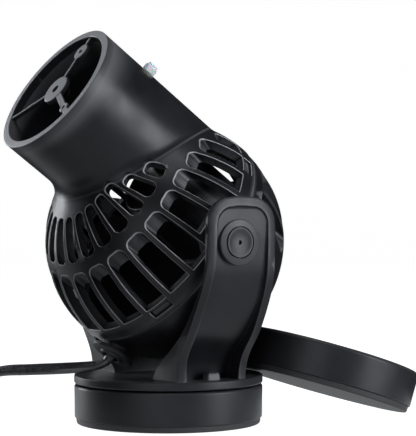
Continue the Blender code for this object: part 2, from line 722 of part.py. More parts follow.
def make_switch():
    here = Matrix.Translation((SWITCH_X * MM, SWITCH_Y * MM, SWITCH_Z * MM))
    split, top = SWITCH_SPLIT, SWITCH_HIGH
    tray = switch_loops(((1.4, 0.0), (0.0, 1.4), (0.0, split)), 0.6)
    lid = (
        (0.0, split + GAP), (0.0, top - 2.6), (0.7, top - 1.6), (1.9, top - 1.5), (2.1, top - 0.4),
        (2.6, top),
    )
    lower = solid("switch_lower_shell", *lofted(tray), SWITCH, here)
    upper = solid("switch_upper_shell", *lofted(switch_loops(lid, 0.5)), SWITCH, here)
    room = rounded_box(SWITCH_LONG - 5, SWITCH_WIDE - 5, 2.0, 2)
    oval = rounded_box(19.6, 13.2, 6.4, 5)
    combine(lower, tool("switch_tray_cutter", *extruded(room, 1.8, 20), here), "DIFFERENCE")
    combine(upper, tool("switch_room_cutter", *extruded(room, -5, top - 2.0), here), "DIFFERENCE")
    combine(upper, tool("rocker_slot_cutter", *extruded(oval, 5, 30), here), "DIFFERENCE")
    slots, lugs = [], []
    for side in (-1, 1):
        slots.append(cuboid((side * 24 - 10, -2.7, split - 1.3), (side * 24 + 10, 2.7, split + 1.7)))
        lugs.append(cuboid((-2.2, side * 7.4 - 0.9, 9.4), (2.2, side * 7.4 + 0.9, top - 1.6)))
    entries = tool("cord_entry_cutter", *many(slots), here)
    axle = Matrix.Translation((0, 0, ROCKER_Z))
    bore = tool("rocker_pin_cutter", *moved(round_bar(1.3, -9.0, 9.0, "Y", 16), axle), here)
    combine(upper, tool("pin_lugs", *many(lugs), here), "UNION")
    for shell in (lower, upper):
        combine(shell, entries, "DIFFERENCE")
    combine(upper, bore, "DIFFERENCE")
    solid("rocker_pin", *moved(round_bar(1.0, -8.2, 8.2, "Y", 16), axle), STEEL, here)
    for word, side in (("in", -1), ("out", 1)):
        strip = cuboid((side * 14.0 - 7.0, -1.6, 2.4), (side * 14.0 + 7.0, 1.6, 3.4))
        solid("switch_contact_" + word, *strip, BRASS, here)
    make_rocker(here)


def make_rocker(here):
    tilt = here @ Matrix.Translation((0, 0, ROCKER_Z * MM)) @ Matrix.Rotation(radians(ROCKER_TILT), 4, "Y")
    loops = []
    for long, wide, z in ((15.6, 10.4, -2.6), (17.2, 11.4, -1.2), (17.2, 11.4, 3.0), (16.2, 10.4, 3.7)):
        loops.append([(x, y, z) for x, y in rounded_box(long, wide, wide * 0.47, 5)])
    rocker = solid("switch_rocker", *lofted(loops), ROCKER, tilt)
    combine(rocker, tool("rocker_bore_cutter", *round_bar(1.25, -9, 9, "Y", 16), tilt), "DIFFERENCE")


def make_plug():
    here = Matrix.Translation((PLUG_X * MM, PLUG_Y * MM, PLUG_Z * MM))
    upright = Matrix(((0, 0, 1, 0), (1, 0, 0, 0), (0, 1, 0, 0), (0, 0, 0, 1)))
    loops = []
    sizes = (
        (-16.0, 20.6, 15.0), (-15.0, 22.0, 16.4), (-8.0, 22.0, 16.4), (2.0, 17.0, 13.4),
        (12.0, 16.0, 12.4), (14.0, 13.0, 10.0), (14.6, 8.2, 6.4), (23.0, 7.0, 5.2),
    )
    for x, wide, high in sizes:
        loops.append([(y, z, x) for y, z in rounded_box(wide, high, min(wide, high) * 0.3, 3)])
    body = solid("plug_body", *moved(lofted(loops), upright), RUBBER, here)
    holes = [cuboid((-20, side * 6.35 - 1.05, -3.45), (-9.0, side * 6.35 + 1.05, 3.45)) for side in (-1, 1)]
    holes.append(cuboid((20.0, -2.7, -1.6), (30.0, 2.7, 1.6)))
    combine(body, tool("plug_hole_cutter", *many(holes), here), "DIFFERENCE")
    for word, side in (("right", -1), ("left", 1)):
        y = side * 6.35
        outline = [(-33.2, -2.2), (-32.0, -3.15), (-9.3, -3.15), (-9.3, 3.15), (-32.0, 3.15), (-33.2, 2.2)]
        blade = extruded(outline, -0.75, 0.75)
        stand = Matrix.Translation((0, y, 0)) @ Matrix.Rotation(pi / 2, 4, "X")
        solid("plug_blade_" + word, *moved(blade, stand), BRASS, here)


def make_tail_cords():
    solid("cord_to_switch", *flat_cord(smooth(SWITCH_PATH, 9.5)), CORD)
    solid("cord_to_plug", *flat_cord(smooth(PLUG_PATH, 9.5)), CORD)


def main():
    make_cage()
    make_trunnions()
    make_guard()
    make_peg()
    make_motor()
    make_rotor()
    make_yoke()
    make_pivots()
    make_base()
    make_dry_side()
    make_cord()
    make_coil()
    make_switch()
    make_plug()
    make_tail_cords()


clear_scene()
SHELL = material("black_plastic", (0.028, 0.029, 0.032), 0.48)
REAR = material("dark_plastic", (0.02, 0.02, 0.022), 0.5)
RIM = material("rim_plastic", (0.05, 0.051, 0.055), 0.4)
MOTOR = material("motor_plastic", (0.03, 0.03, 0.034), 0.4)
CLEAR = material("clear_plastic", (0.85, 0.86, 0.86), 0.25, 0.0, 0.5)
RUBBER = material("rubber", (0.022, 0.022, 0.023), 0.75)
STEEL = material("steel", (0.45, 0.45, 0.46), 0.35, 1.0)
COPPER = material("copper_wire", (0.45, 0.18, 0.08), 0.4, 1.0)
RESIN = material("resin", (0.04, 0.035, 0.03), 0.5)
FERRITE = material("magnet", (0.06, 0.06, 0.062), 0.55)
CERAMIC = material("ceramic", (0.8, 0.79, 0.75), 0.3)
BLADE = material("blade_plastic", (0.035, 0.036, 0.04), 0.4)
SWITCH = material("switch_plastic", (0.04, 0.041, 0.043), 0.45)
ROCKER = material("rocker_plastic", (0.012, 0.012, 0.013), 0.15)
BRASS = material("brass", (0.62, 0.5, 0.26), 0.3, 1.0)
CORD = material("cord_jacket", (0.02, 0.02, 0.021), 0.5)
TOOLS = material("tool", (0.5, 0.5, 0.5), 0.5)
main()
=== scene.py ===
"""Looks of an aquarium wave maker pump on its magnetic base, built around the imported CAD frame.

Shapes are drawn in millimetres in frames of their own: the ball's about the tilt axis, the nozzle's about the
rotor's axis, the leaning disc's on its pad, and everything else's from the table up.
"""

import json
from math import asin, atan2, ceil, cos, pi, radians, sin, sqrt, tan

import bmesh
import bpy
from mathutils import Matrix, Vector


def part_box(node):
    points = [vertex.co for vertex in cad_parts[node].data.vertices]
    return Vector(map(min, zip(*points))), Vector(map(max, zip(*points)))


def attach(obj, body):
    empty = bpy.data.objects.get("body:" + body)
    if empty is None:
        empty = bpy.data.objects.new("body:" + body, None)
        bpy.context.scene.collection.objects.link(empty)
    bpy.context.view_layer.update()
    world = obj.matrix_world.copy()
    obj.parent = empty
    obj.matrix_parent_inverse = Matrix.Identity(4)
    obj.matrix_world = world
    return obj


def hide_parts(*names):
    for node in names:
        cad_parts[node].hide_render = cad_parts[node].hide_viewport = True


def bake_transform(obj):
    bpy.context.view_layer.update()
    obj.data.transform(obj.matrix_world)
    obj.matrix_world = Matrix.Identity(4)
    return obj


MM = 0.001
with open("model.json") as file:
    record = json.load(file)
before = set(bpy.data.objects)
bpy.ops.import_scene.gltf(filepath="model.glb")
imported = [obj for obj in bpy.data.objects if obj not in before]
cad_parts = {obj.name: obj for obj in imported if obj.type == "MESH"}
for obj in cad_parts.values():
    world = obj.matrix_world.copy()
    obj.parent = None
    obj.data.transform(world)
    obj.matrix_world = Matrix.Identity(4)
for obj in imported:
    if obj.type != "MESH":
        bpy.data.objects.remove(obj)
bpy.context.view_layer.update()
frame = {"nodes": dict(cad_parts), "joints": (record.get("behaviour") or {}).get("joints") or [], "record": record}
JOINTS = {joint["name"]: joint for joint in frame["joints"]}
MOUNTS = {mount["name"]: mount for mount in frame["record"]["mounts"]}


def frame_at(origin, up, side):
    """A frame in millimetres with Z along up and X as near to side as it can be."""
    z = Vector(up).normalized()
    y = z.cross(Vector(side)).normalized()
    turn = Matrix((y.cross(z), y, z)).transposed()
    return Matrix.Translation(Vector(origin)) @ turn.to_4x4() @ Matrix.Scale(MM, 4)


def shift(x, y, z):
    return Matrix.Translation((x, y, z))


def box_mm(node):
    low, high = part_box(node)
    return low / MM, high / MM


TABLE = Matrix.Scale(MM, 4)
PUMP = frame_at(JOINTS["tilt"]["pos_m"], JOINTS["spin"]["axis"], (1, 0, 0))
NOZZLE = frame_at(JOINTS["spin"]["pos_m"], JOINTS["spin"]["axis"], (1, 0, 0))
PIVOT = Matrix.Translation(Vector(JOINTS["tilt"]["pos_m"])) @ TABLE
PIVOT_AT = Vector(JOINTS["tilt"]["pos_m"]) / MM
DISC = frame_at(
    MOUNTS["outer_magnet_face"]["pos_m"], -Vector(MOUNTS["outer_magnet_face"]["axis"]), (1, 0, 0)
)
NOZZLE_OFFSET = (Vector(JOINTS["spin"]["pos_m"]) - Vector(JOINTS["tilt"]["pos_m"])).length / MM
BALL_R = box_mm("rear_cage")[1].x
NOZZLE_R = box_mm("front_guard")[1].x
NOZZLE_END = 64.6
GUARD_DEPTH = 2.8
NECK_FILLET = 7.5
BALL_WALL, TUBE_WALL = 3.1, 2.7
ROUND = 144
SIDES = (1, -1)
SIDEWAYS = {side: Matrix.Rotation(side * pi / 2, 4, "Y") for side in SIDES}
UP_NOZZLE = shift(0, NOZZLE_OFFSET, 0)


# ---- shapes ----


def filleted(corners, steps=5):
    """A closed outline of (x, y, radius) with each corner rounded by its radius."""
    found = []
    for k, (x, y, radius) in enumerate(corners):
        here = Vector((x, y))
        if radius <= 0:
            found.append((x, y))
            continue
        back = (Vector(corners[k - 1][:2]) - here).normalized()
        ahead = (Vector(corners[(k + 1) % len(corners)][:2]) - here).normalized()
        half = back.angle(ahead) / 2
        centre = here + (back + ahead).normalized() * (radius / sin(half))
        start = here + back * (radius / tan(half)) - centre
        end = here + ahead * (radius / tan(half)) - centre
        first = atan2(start.y, start.x)
        sweep = (atan2(end.y, end.x) - first + pi) % (2 * pi) - pi
        for s in range(steps + 1):
            a = first + sweep * s / steps
            found.append((centre.x + radius * cos(a), centre.y + radius * sin(a)))
    return found


def turned(corners, sides=ROUND, steps=4):
    """A closed half-section of (radius, height, fillet) turned about Z."""
    points, rings = [], []
    for radius, height in filleted(corners, steps):
        if radius < 1e-6:
            rings.append([len(points)] * sides)
            points.append((0, 0, height))
            continue
        rings.append(list(range(len(points), len(points) + sides)))
        for k in range(sides):
            a = 2 * pi * k / sides
            points.append((radius * cos(a), radius * sin(a), height))
    return points, ring_faces(rings, True)


def drum(radius, low, high, sides):
    """A plain solid drum about Z."""
    return turned([(0, low, 0), (radius, low, 0), (radius, high, 0), (0, high, 0)], sides)


def ring_faces(rings, closed):
    """Faces between neighbouring rings of equal count."""
    faces = []
    pairs = list(zip(rings, rings[1:]))
    if closed:
        pairs.append((rings[-1], rings[0]))
    for low, high in pairs:
        n = len(low)
        for k in range(n):
            loop = [low[k], low[(k + 1) % n], high[(k + 1) % n], high[k]]
            face = list(dict.fromkeys(loop))
            if len(face) > 2:
                faces.append(face)
    return faces


def lofted(loops):
    """Closed loops of equal count skinned one to the next and capped."""
    n = len(loops[0])
    points = [tuple(p) for loop in loops for p in loop]
    rings = [list(range(k * n, k * n + n)) for k in range(len(loops))]
    return points, ring_faces(rings, False) + [rings[0][::-1], rings[-1]]


def inset(outline, distance):
    """The outline moved inwards along its corners' normals. It runs anticlockwise."""
    found = []
    for k, point in enumerate(outline):
        back, ahead = Vector(outline[k - 1]), Vector(outline[(k + 1) % len(outline)])
        along = (ahead - back).normalized()
        found.append((point[0] - along.y * distance, point[1] + along.x * distance))
    return found


def plate(outline, low, high, edge=0.3, steps=3):
    """An outline drawn up between two heights, with its bottom and top edges rounded."""
    loops = []
    for k in range(steps + 1):
        a = pi / 2 * k / steps
        loops.append([(x, y, low + edge * (1 - cos(a))) for x, y in inset(outline, edge * (1 - sin(a)))])
    for k in range(steps, -1, -1):
        a = pi / 2 * k / steps
        loops.append([(x, y, high - edge * (1 - cos(a))) for x, y in inset(outline, edge * (1 - sin(a)))])
    return lofted(loops)


def rounded_rectangle(long, wide, radius, steps=6):
    x, y = long / 2, wide / 2
    return filleted([(x, -y, radius), (x, y, radius), (-x, y, radius), (-x, -y, radius)], steps)


def moved(body, matrix):
    points, faces = body
    return [tuple(matrix @ Vector(p)) for p in points], faces


def many(bodies):
    points, faces = [], []
    for some, sides in bodies:
        faces += [[len(points) + i for i in side] for side in sides]
        points += some
    return points, faces


def piece(name, body, colour, where=TABLE):
    """A mesh from a body in millimetres in one of the frames."""
    points, faces = body
    mesh = bpy.data.meshes.new(name)
    mesh.from_pydata([where @ Vector(p) for p in points], [], faces)
    shape = bmesh.new()
    shape.from_mesh(mesh)
    bmesh.ops.recalc_face_normals(shape, faces=shape.faces)
    shape.to_mesh(mesh)
    shape.free()
    thing = bpy.data.objects.new(name, mesh)
    bpy.context.scene.collection.objects.link(thing)
    mesh.materials.append(colour)
    return thing


def combine(thing, body, how, where=TABLE):
    """Cuts or joins a body to a thing and applies it."""
    other = piece("tool", body, thing.data.materials[0], where)
    step = thing.modifiers.new(how, "BOOLEAN")
    step.object = other
    step.operation = how
    step.solver = "EXACT"
    apply_modifiers(thing)
    bpy.data.objects.remove(other, do_unlink=True)


def apply_modifiers(thing):
    graph = bpy.context.evaluated_depsgraph_get()
    made = bpy.data.meshes.new_from_object(thing.evaluated_get(graph))
    made.name = thing.data.name
    thing.modifiers.clear()
    thing.data = made


def shaded(thing, angle=38.0):
    """Smooth shading up to an angle, with large faces setting the normals."""
    thing.data.shade_smooth()
    thing.data.set_sharp_from_angle(angle=radians(angle))
    step = thing.modifiers.new("weighted", "WEIGHTED_NORMAL")
    step.keep_sharp = True
    step.weight = 60
    return thing


def shown(thing, body, slot, *nodes):
    """Shades a piece, rides it on a body and lets it stand for CAD nodes."""
    shaded(thing)
    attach(thing, body)
    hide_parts(*nodes)
    return thing


# ---- materials ----


def shader_of(name, colour, roughness, metallic=0.0):
    made = bpy.data.materials.new(name)
    made.use_nodes = True
    shader = made.node_tree.nodes["Principled BSDF"]
    shader.inputs["Base Color"].default_value = (*colour, 1)
    shader.inputs["Roughness"].default_value = roughness
    shader.inputs["Metallic"].default_value = metallic
    return made, made.node_tree, shader


def noise(tree, scale, detail=3.0, stretch=None):
    """A noise texture in metres of the object's own space."""
    place = tree.nodes.new("ShaderNodeTexCoord")
    texture = tree.nodes.new("ShaderNodeTexNoise")
    texture.inputs["Scale"].default_value = scale
    texture.inputs["Detail"].default_value = detail
    source = place.outputs["Object"]
    if stretch:
        mapping = tree.nodes.new("ShaderNodeMapping")
        mapping.inputs["Scale"].default_value = stretch
        tree.links.new(source, mapping.inputs["Vector"])
        source = mapping.outputs["Vector"]
    tree.links.new(source, texture.inputs["Vector"])
    return texture.outputs["Fac"]


def spread_over(tree, value, low, high, start=0.3, end=0.7):
    """The value stretched from start..end to low..high."""
    step = tree.nodes.new("ShaderNodeMapRange")
    step.inputs["From Min"].default_value = start
    step.inputs["From Max"].default_value = end
    step.inputs["To Min"].default_value = low
    step.inputs["To Max"].default_value = high
    tree.links.new(value, step.inputs["Value"])
    return step.outputs["Result"]


def between(tree, share, first, second):
    """A colour between two, by a share. Each is a fixed colour or an output."""
    mix = tree.nodes.new("ShaderNodeMix")
    mix.data_type = "RGBA"
    for name, colour in (("A", first), ("B", second)):
        if isinstance(colour, tuple):
            mix.inputs[name].default_value = (*colour, 1)
        else:
            tree.links.new(colour, mix.inputs[name])
    tree.links.new(share, mix.inputs["Factor"])
    return mix.outputs["Result"]


def cloud_colour(tree, shader, texture, first, second):
    """Lets the shader's colour wander between two, by a noise."""
    tint = between(tree, spread_over(tree, texture, 0, 1), first, second)
    tree.links.new(tint, shader.inputs["Base Color"])


def cloud_gloss(tree, shader, texture, low, high):
    """Lets the shader's roughness wander between two, by a noise."""
    tree.links.new(spread_over(tree, texture, low, high), shader.inputs["Roughness"])


def bump(tree, shader, height, distance, strength=1.0):
    """A bump in metres, on top of any that the shader has."""
    step = tree.nodes.new("ShaderNodeBump")
    step.inputs["Distance"].default_value = distance
    step.inputs["Strength"].default_value = strength
    tree.links.new(height, step.inputs["Height"])
    before = shader.inputs["Normal"].links
    if before:
        tree.links.new(before[0].from_socket, step.inputs["Normal"])
    tree.links.new(step.outputs["Normal"], shader.inputs["Normal"])


# Pale grey painted onto sharp edges as a highlight, standing in for light caught by their rounding.
EDGE_HIGHLIGHT_GREY = (0.3, 0.3, 0.31)


def moulded(name, colour, roughness, grain=0.012, edge_highlight=0.35, specular=0.22):
    """Moulded plastic: a fine spark-eroded grain, uneven gloss, faint cloudiness and pale edges, a painted
    highlight where the mesh turns sharply.
    """
    made, tree, shader = shader_of(name, colour, roughness)
    shader.inputs["Specular IOR Level"].default_value = specular
    cloud = spread_over(tree, noise(tree, 55.0, 4.0), 0.0, 1.0)
    pale = tuple(c * 1.5 + 0.002 for c in colour)
    tint = between(tree, cloud, tuple(c * 0.85 for c in colour), pale)
    if edge_highlight:
        # Painted highlight: vertices where the mesh turns sharply are tinted pale grey, as if the edges caught the
        # light.
        shape = tree.nodes.new("ShaderNodeNewGeometry")
        edge = spread_over(tree, shape.outputs["Pointiness"], 0.0, edge_highlight, 0.515, 0.6)
        tint = between(tree, edge, tint, EDGE_HIGHLIGHT_GREY)
    tree.links.new(tint, shader.inputs["Base Color"])
    cloud_gloss(tree, shader, noise(tree, 140.0, 5.0), roughness - 0.05, roughness + 0.06)
    bump(tree, shader, noise(tree, 2600.0, 2.0), grain * MM, 0.6)
    return made


def vector_step(tree, how, *sources):
    """A vector sum on outputs or on fixed vectors."""
    step = tree.nodes.new("ShaderNodeVectorMath")
    step.operation = how
    for k, source in enumerate(sources):
        if isinstance(source, Vector):
            step.inputs[k].default_value = source
        else:
            tree.links.new(source, step.inputs[k])
    return step.outputs["Value" if how in ("DOT_PRODUCT", "LENGTH") else "Vector"]


def product(tree, *shares):
    """Shares from 0 to 1 multiplied together."""
    found = shares[0]
    for share in shares[1:]:
        step = tree.nodes.new("ShaderNodeMath")
        step.operation = "MULTIPLY"
        tree.links.new(found, step.inputs[0])
        tree.links.new(share, step.inputs[1])
        found = step.outputs["Value"]
    return found


def own_normal(tree):
    """The surface's normal in the object's own space."""
    turn = tree.nodes.new("ShaderNodeVectorTransform")
    turn.vector_type = "NORMAL"
    turn.convert_from, turn.convert_to = "WORLD", "OBJECT"
    tree.links.new(tree.nodes.new("ShaderNodeNewGeometry").outputs["Normal"], turn.inputs["Vector"])
    return turn.outputs["Vector"]


def tint_over(tree, share, colour):
    """Lays a colour over the shader's own by a share."""
    shader = tree.nodes["Principled BSDF"]
    own = shader.inputs["Base Color"].links[0].from_socket
    tree.links.new(between(tree, share, own, colour), shader.inputs["Base Color"])


def caged(made):
    """Gives the ball's plastic duller slot walls and bore, and a pale painted highlight where the slots' edges
    turn in.
    """
    tree = made.node_tree
    shader = tree.nodes["Principled BSDF"]
    place = tree.nodes.new("ShaderNodeTexCoord").outputs["Object"]
    out = vector_step(tree, "SUBTRACT", place, PIVOT_AT * MM)
    turn = vector_step(tree, "DOT_PRODUCT", vector_step(tree, "NORMALIZE", out), own_normal(tree))
    distance = vector_step(tree, "LENGTH", out)
    in_ball = spread_over(tree, distance, 1.0, 0.0, (BALL_R + 0.1) * MM, (BALL_R + 0.5) * MM)
    near_skin = spread_over(tree, distance, 0.0, 1.0, (BALL_R - 0.42) * MM, (BALL_R - 0.2) * MM)
    off_skin = spread_over(tree, turn, 1.0, 0.0, 0.88, 0.97)
    off_wall = spread_over(tree, turn, 0.0, 1.0, 0.12, 0.4)
    # Painted highlight: a pale grey band on the outer skin just where it turns into a slot, standing in for light
    # caught by the rounded edge.
    painted_rim_highlight = product(tree, off_skin, off_wall, in_ball, near_skin)
    tint_over(tree, painted_rim_highlight, (0.36, 0.36, 0.37))
    along = Vector(JOINTS["spin"]["axis"])
    from_rotor = vector_step(tree, "SUBTRACT", place, Vector(JOINTS["spin"]["pos_m"]))
    off_axis = vector_step(tree, "LENGTH", vector_step(tree, "CROSS_PRODUCT", from_rotor, along))
    ahead = spread_over(tree, vector_step(tree, "DOT_PRODUCT", from_rotor, along), 0.0, 1.0, 0.008, 0.012)
    inside = spread_over(tree, off_axis, 1.0, 0.0, (NOZZLE_R - 1.2) * MM, (NOZZLE_R - 0.8) * MM)
    bore = product(tree, ahead, inside)
    walls = product(tree, spread_over(tree, turn, 1.0, 0.0, 0.2, 0.7), in_ball)
    most = tree.nodes.new("ShaderNodeMath")
    most.operation = "MAXIMUM"
    tree.links.new(bore, most.inputs[0])
    tree.links.new(walls, most.inputs[1])
    gloss = shader.inputs["Specular IOR Level"]
    dulled = spread_over(tree, most.outputs["Value"], gloss.default_value, 0.05, 0.0, 1.0)
    tree.links.new(dulled, gloss)
    return made


def painted_front_highlight(made, colour):
    """Lays a pale painted highlight on the faces that look out of the nozzle, where the light falls on the lip and
    the guard's front.
    """
    tree = made.node_tree
    turn = vector_step(tree, "DOT_PRODUCT", own_normal(tree), Vector(JOINTS["spin"]["axis"]))
    tint_over(tree, spread_over(tree, turn, 0.0, 1.0, 0.5, 0.85), colour)
    return made


def jacket(name, colour, roughness):
    """A cord's soft jacket: streaks, small dents and an uneven sheen."""
    made, tree, shader = shader_of(name, colour, roughness)
    cloud_colour(tree, shader, noise(tree, 220.0, 5.0), colour, tuple(c * 1.7 for c in colour))
    cloud_gloss(tree, shader, noise(tree, 420.0, 4.0), roughness - 0.08, roughness + 0.08)
    bump(tree, shader, noise(tree, 900.0, 4.0), 0.03 * MM, 0.5)
    return made


def rubbery(name, colour, roughness):
    made, tree, shader = shader_of(name, colour, roughness)
    cloud_colour(tree, shader, noise(tree, 90.0, 6.0), colour, tuple(c * 1.8 for c in colour))
    bump(tree, shader, noise(tree, 1500.0, 3.0), 0.04 * MM, 0.7)
    return made


def metal(name, colour, roughness, stretch=(1, 1, 1)):
    """Plain or brushed metal, by how far its scratches are stretched."""
    made, tree, shader = shader_of(name, colour, roughness, 1.0)
    scratch = noise(tree, 700.0, 6.0, stretch)
    cloud_gloss(tree, shader, scratch, roughness - 0.1, roughness + 0.15)
    cloud_colour(tree, shader, scratch, colour, tuple(c * 0.7 for c in colour))
    bump(tree, shader, scratch, 0.01 * MM, 0.4)
    return made


def milky(name):
    """Clear plastic moulded with a milky haze."""
    made, tree, shader = shader_of(name, (0.9, 0.92, 0.93), 0.3)
    shader.inputs["Transmission Weight"].default_value = 0.12
    shader.inputs["IOR"].default_value = 1.46
    shader.inputs["Subsurface Weight"].default_value = 0.4
    shader.inputs["Subsurface Scale"].default_value = 0.002
    cloud_colour(tree, shader, noise(tree, 500.0, 3.0), (0.82, 0.84, 0.86), (0.95, 0.96, 0.97))
    bump(tree, shader, noise(tree, 800.0, 3.0), 0.02 * MM, 0.5)
    return made


SHELL = moulded("black_plastic", (0.0085, 0.0086, 0.0105), 0.36)
CAGE = caged(moulded("cage_plastic", (0.0085, 0.0086, 0.0105), 0.36))
REAR = caged(moulded("dark_plastic", (0.006, 0.006, 0.0075), 0.38))
# The rim's faces that look out of the nozzle get a pale grey painted highlight.
RIM = painted_front_highlight(moulded("rim_plastic", (0.02, 0.0202, 0.022), 0.38, 0.012, 0.3), (0.36, 0.365, 0.38))
MOTOR = moulded("motor_plastic", (0.01, 0.01, 0.012), 0.34, 0.006, 0.2, 0.1)
BLADE = moulded("blade_plastic", (0.02, 0.02, 0.023), 0.3, 0.006, 0.3)
CLEAR = milky("clear_plastic")
RUBBER = rubbery("rubber", (0.013, 0.013, 0.014), 0.62)
STEEL = metal("steel", (0.42, 0.42, 0.43), 0.35, (1, 1, 12))
COPPER = metal("copper_wire", (0.42, 0.17, 0.08), 0.35, (1, 1, 40))
BRASS = metal("brass", (0.6, 0.46, 0.22), 0.3, (12, 1, 1))
RESIN = moulded("resin", (0.03, 0.026, 0.022), 0.4, 0.03, 0)
FERRITE = moulded("magnet", (0.05, 0.05, 0.052), 0.55, 0.05, 0)
CERAMIC = moulded("ceramic", (0.7, 0.69, 0.66), 0.25, 0.004, 0)
SWITCH = moulded("switch_plastic", (0.02, 0.0205, 0.022), 0.42)
ROCKER = moulded("rocker_plastic", (0.006, 0.006, 0.0065), 0.16, 0.002, 0.1)
CORD = jacket("cord_jacket", (0.05, 0.05, 0.052), 0.3)
PALE = moulded("pale_mark", (0.62, 0.62, 0.6), 0.45, 0.004, 0)
SLOTS = {
    "black_plastic": SHELL, "dark_plastic": REAR, "rim_plastic": RIM, "motor_plastic": MOTOR,
    "clear_plastic": CLEAR, "rubber": RUBBER, "steel": STEEL, "copper_wire": COPPER,
    "resin": RESIN, "magnet": FERRITE, "ceramic": CERAMIC, "blade_plastic": BLADE,
    "switch_plastic": SWITCH, "rocker_plastic": ROCKER, "brass": BRASS, "cord_jacket": CORD,
}


# ---- camera, light and floor ----

VIEW_TURN = radians(58.3)
CAMERA_AT = Vector((1.1, -600.0, 75.4))
CAMERA_YAW, CAMERA_DROP = 1.2, 0.48
LENS = 143.5
UNDER_FLOOR = -0.3


def seen_from_camera(right, back, up):
    """A point in metres, from millimetres to the camera's right, towards it and up."""
    return Matrix.Rotation(VIEW_TURN, 4, "Z") @ (Vector((right, -back, up)) * MM)


def make_camera():
    data = bpy.data.cameras.new("camera")
    data.lens = LENS
    data.sensor_width = 36.0
    data.clip_start, data.clip_end = 0.01, 20.0
    camera = bpy.data.objects.new("camera", data)
    camera.location = Matrix.Rotation(VIEW_TURN, 4, "Z") @ (CAMERA_AT * MM)
    camera.rotation_euler = (radians(90 - CAMERA_DROP), 0, VIEW_TURN - radians(CAMERA_YAW))
    bpy.context.scene.collection.objects.link(camera)
    bpy.context.scene.camera = camera


def soft_light(name, right, back, up, wide, high, power, target=(0, 0, 60)):
    data = bpy.data.lights.new(name, "AREA")
    data.shape = "RECTANGLE"
    data.size, data.size_y = wide * MM, high * MM
    data.energy = power
    data.color = (0.93, 0.96, 1.0)
    lamp = bpy.data.objects.new(name, data)
    lamp.location = seen_from_camera(right, back, up)
    lamp.visible_camera = False
    aim = seen_from_camera(*target) - lamp.location
    lamp.rotation_euler = aim.to_track_quat("-Z", "Y").to_euler()
    bpy.context.scene.collection.objects.link(lamp)


def make_studio():
    world = bpy.data.worlds.new("studio")
    world.use_nodes = True
    world.node_tree.nodes["Background"].inputs["Color"].default_value = (0.95, 0.97, 1.0, 1)
    world.node_tree.nodes["Background"].inputs["Strength"].default_value = 0.035
    bpy.context.scene.world = world
    bpy.context.scene.view_settings.view_transform = "Standard"
    soft_light("key", 600, 300, 110, 260, 500, 5.2)
    soft_light("back_left", -560, -430, 190, 200, 420, 3.0)
    soft_light("front", -250, 800, 220, 500, 500, 1.5)
    soft_light("top", 60, 160, 800, 420, 300, 1.8)


def glowing(name, strength):
    """A faintly blue glow for a sheet that the plastics reflect."""
    made, _, shader = shader_of(name, (0.1, 0.1, 0.1), 0.8)
    shader.inputs["Emission Color"].default_value = (0.94, 0.97, 1, 1)
    shader.inputs["Emission Strength"].default_value = strength
    return made


def make_floor():
    """A pale floor that curves up into walls and a ceiling, with sheets that only the plastics see."""
    made, tree, shader = shader_of("pale_floor", (0.4, 0.4, 0.4), 0.6)
    cloud_colour(tree, shader, noise(tree, 12.0, 4.0), (0.38, 0.38, 0.385), (0.42, 0.42, 0.42))
    shader.inputs["Emission Color"].default_value = (1, 1, 1, 1)
    shader.inputs["Emission Strength"].default_value = 0.97
    bump(tree, shader, noise(tree, 300.0, 3.0), 0.03 * MM, 0.3)
    room = [(0, -0.2, 0), (3000, -0.2, 1400), (3000, 2800, 1400), (0, 2800, 0)]
    surround = piece("surround", turned(room, 96, 16), made)
    surround.data.shade_smooth()
    floor = piece("floor", drum(260, 0, -0.1, 96), made)
    card = piece("floor_card", drum(205, 0, -0.1, 96), glowing("floor_card", 0.85))
    card.location = seen_from_camera(-60, 90, UNDER_FLOOR)
    near, far = [], []
    for k in range(9):
        a = radians(40 + 6 * k)
        for ring, reach in ((near, 150), (far, 640)):
            ring.append(seen_from_camera(reach * sin(a), reach * cos(a), UNDER_FLOOR) / MM)
    faces = [[k, k + 1, 10 + k, 9 + k] for k in range(8)]
    apron = piece("floor_apron", ([tuple(p) for p in near + far], faces), glowing("floor_apron", 1.7))
    for thing in (card, apron):
        thing.visible_camera = False
    for thing in (floor, surround):
        thing.visible_glossy = False
    for thing in (floor, surround, card, apron):
        thing.visible_diffuse = False
    surround.visible_shadow = False


# ---- cord ----

CORD_WIDE, CORD_THICK = 4.8, 2.6
COIL_LOW, COIL_HIGH = box_mm("cord_coil")
COIL_AT = (COIL_LOW + COIL_HIGH) / 2
COIL_R = (COIL_HIGH.x - COIL_LOW.x) / 2 - 7.4
COIL_FROM, COIL_TO = 210, 2295
LAYERS = (2.45, 5.1)
CORD_LIES = 1.6

LEAD_PATH = (
    (0.0, -19.6, 28.4, 0), (0.0, -23.4, 23.2, 0), (-0.6, -24.9, 21.6, 8), (-2.4, -26.6, 20.7, 16),
    (-5.6, -29.6, 20.0, 26), (-11.0, -36.6, 19.4, 32), (-20.4, -43.0, 18.6, 32), (-31.6, -48.6, 17.4, 28),
    (-42.5, -54.6, 13.6, 18), (-51.0, -62.5, 8.6, 10), (-56.6, -72.0, 4.4, 4), (-59.0, -82.0, 1.9, 0),
    (-59.2, -88.0, 1.6, 0),
)
RUN_PATH = (
    (-59.2, -88.1, 1.6, 0), (-58.6, -98.0, 1.6, 0), (-57.0, -108.0, 1.6, 0), (-54.9, -116.0, 1.6, 0),
    (-52.6, -124.0, 1.6, 0),
)
SWITCH_PATH = (
    (-42.6, -95.0, 8.0, 0), (-48.9, -103.4, 8.4, 0), (-52.6, -112.0, 9.4, 0), (-53.0, -119.6, 11.0, 0),
    (-50.0, -126.4, 12.6, 0), (-44.4, -131.0, 13.9, 0), (-39.5, -132.4, 14.4, 0), (-33.0, -132.5, 14.5, 0),
)
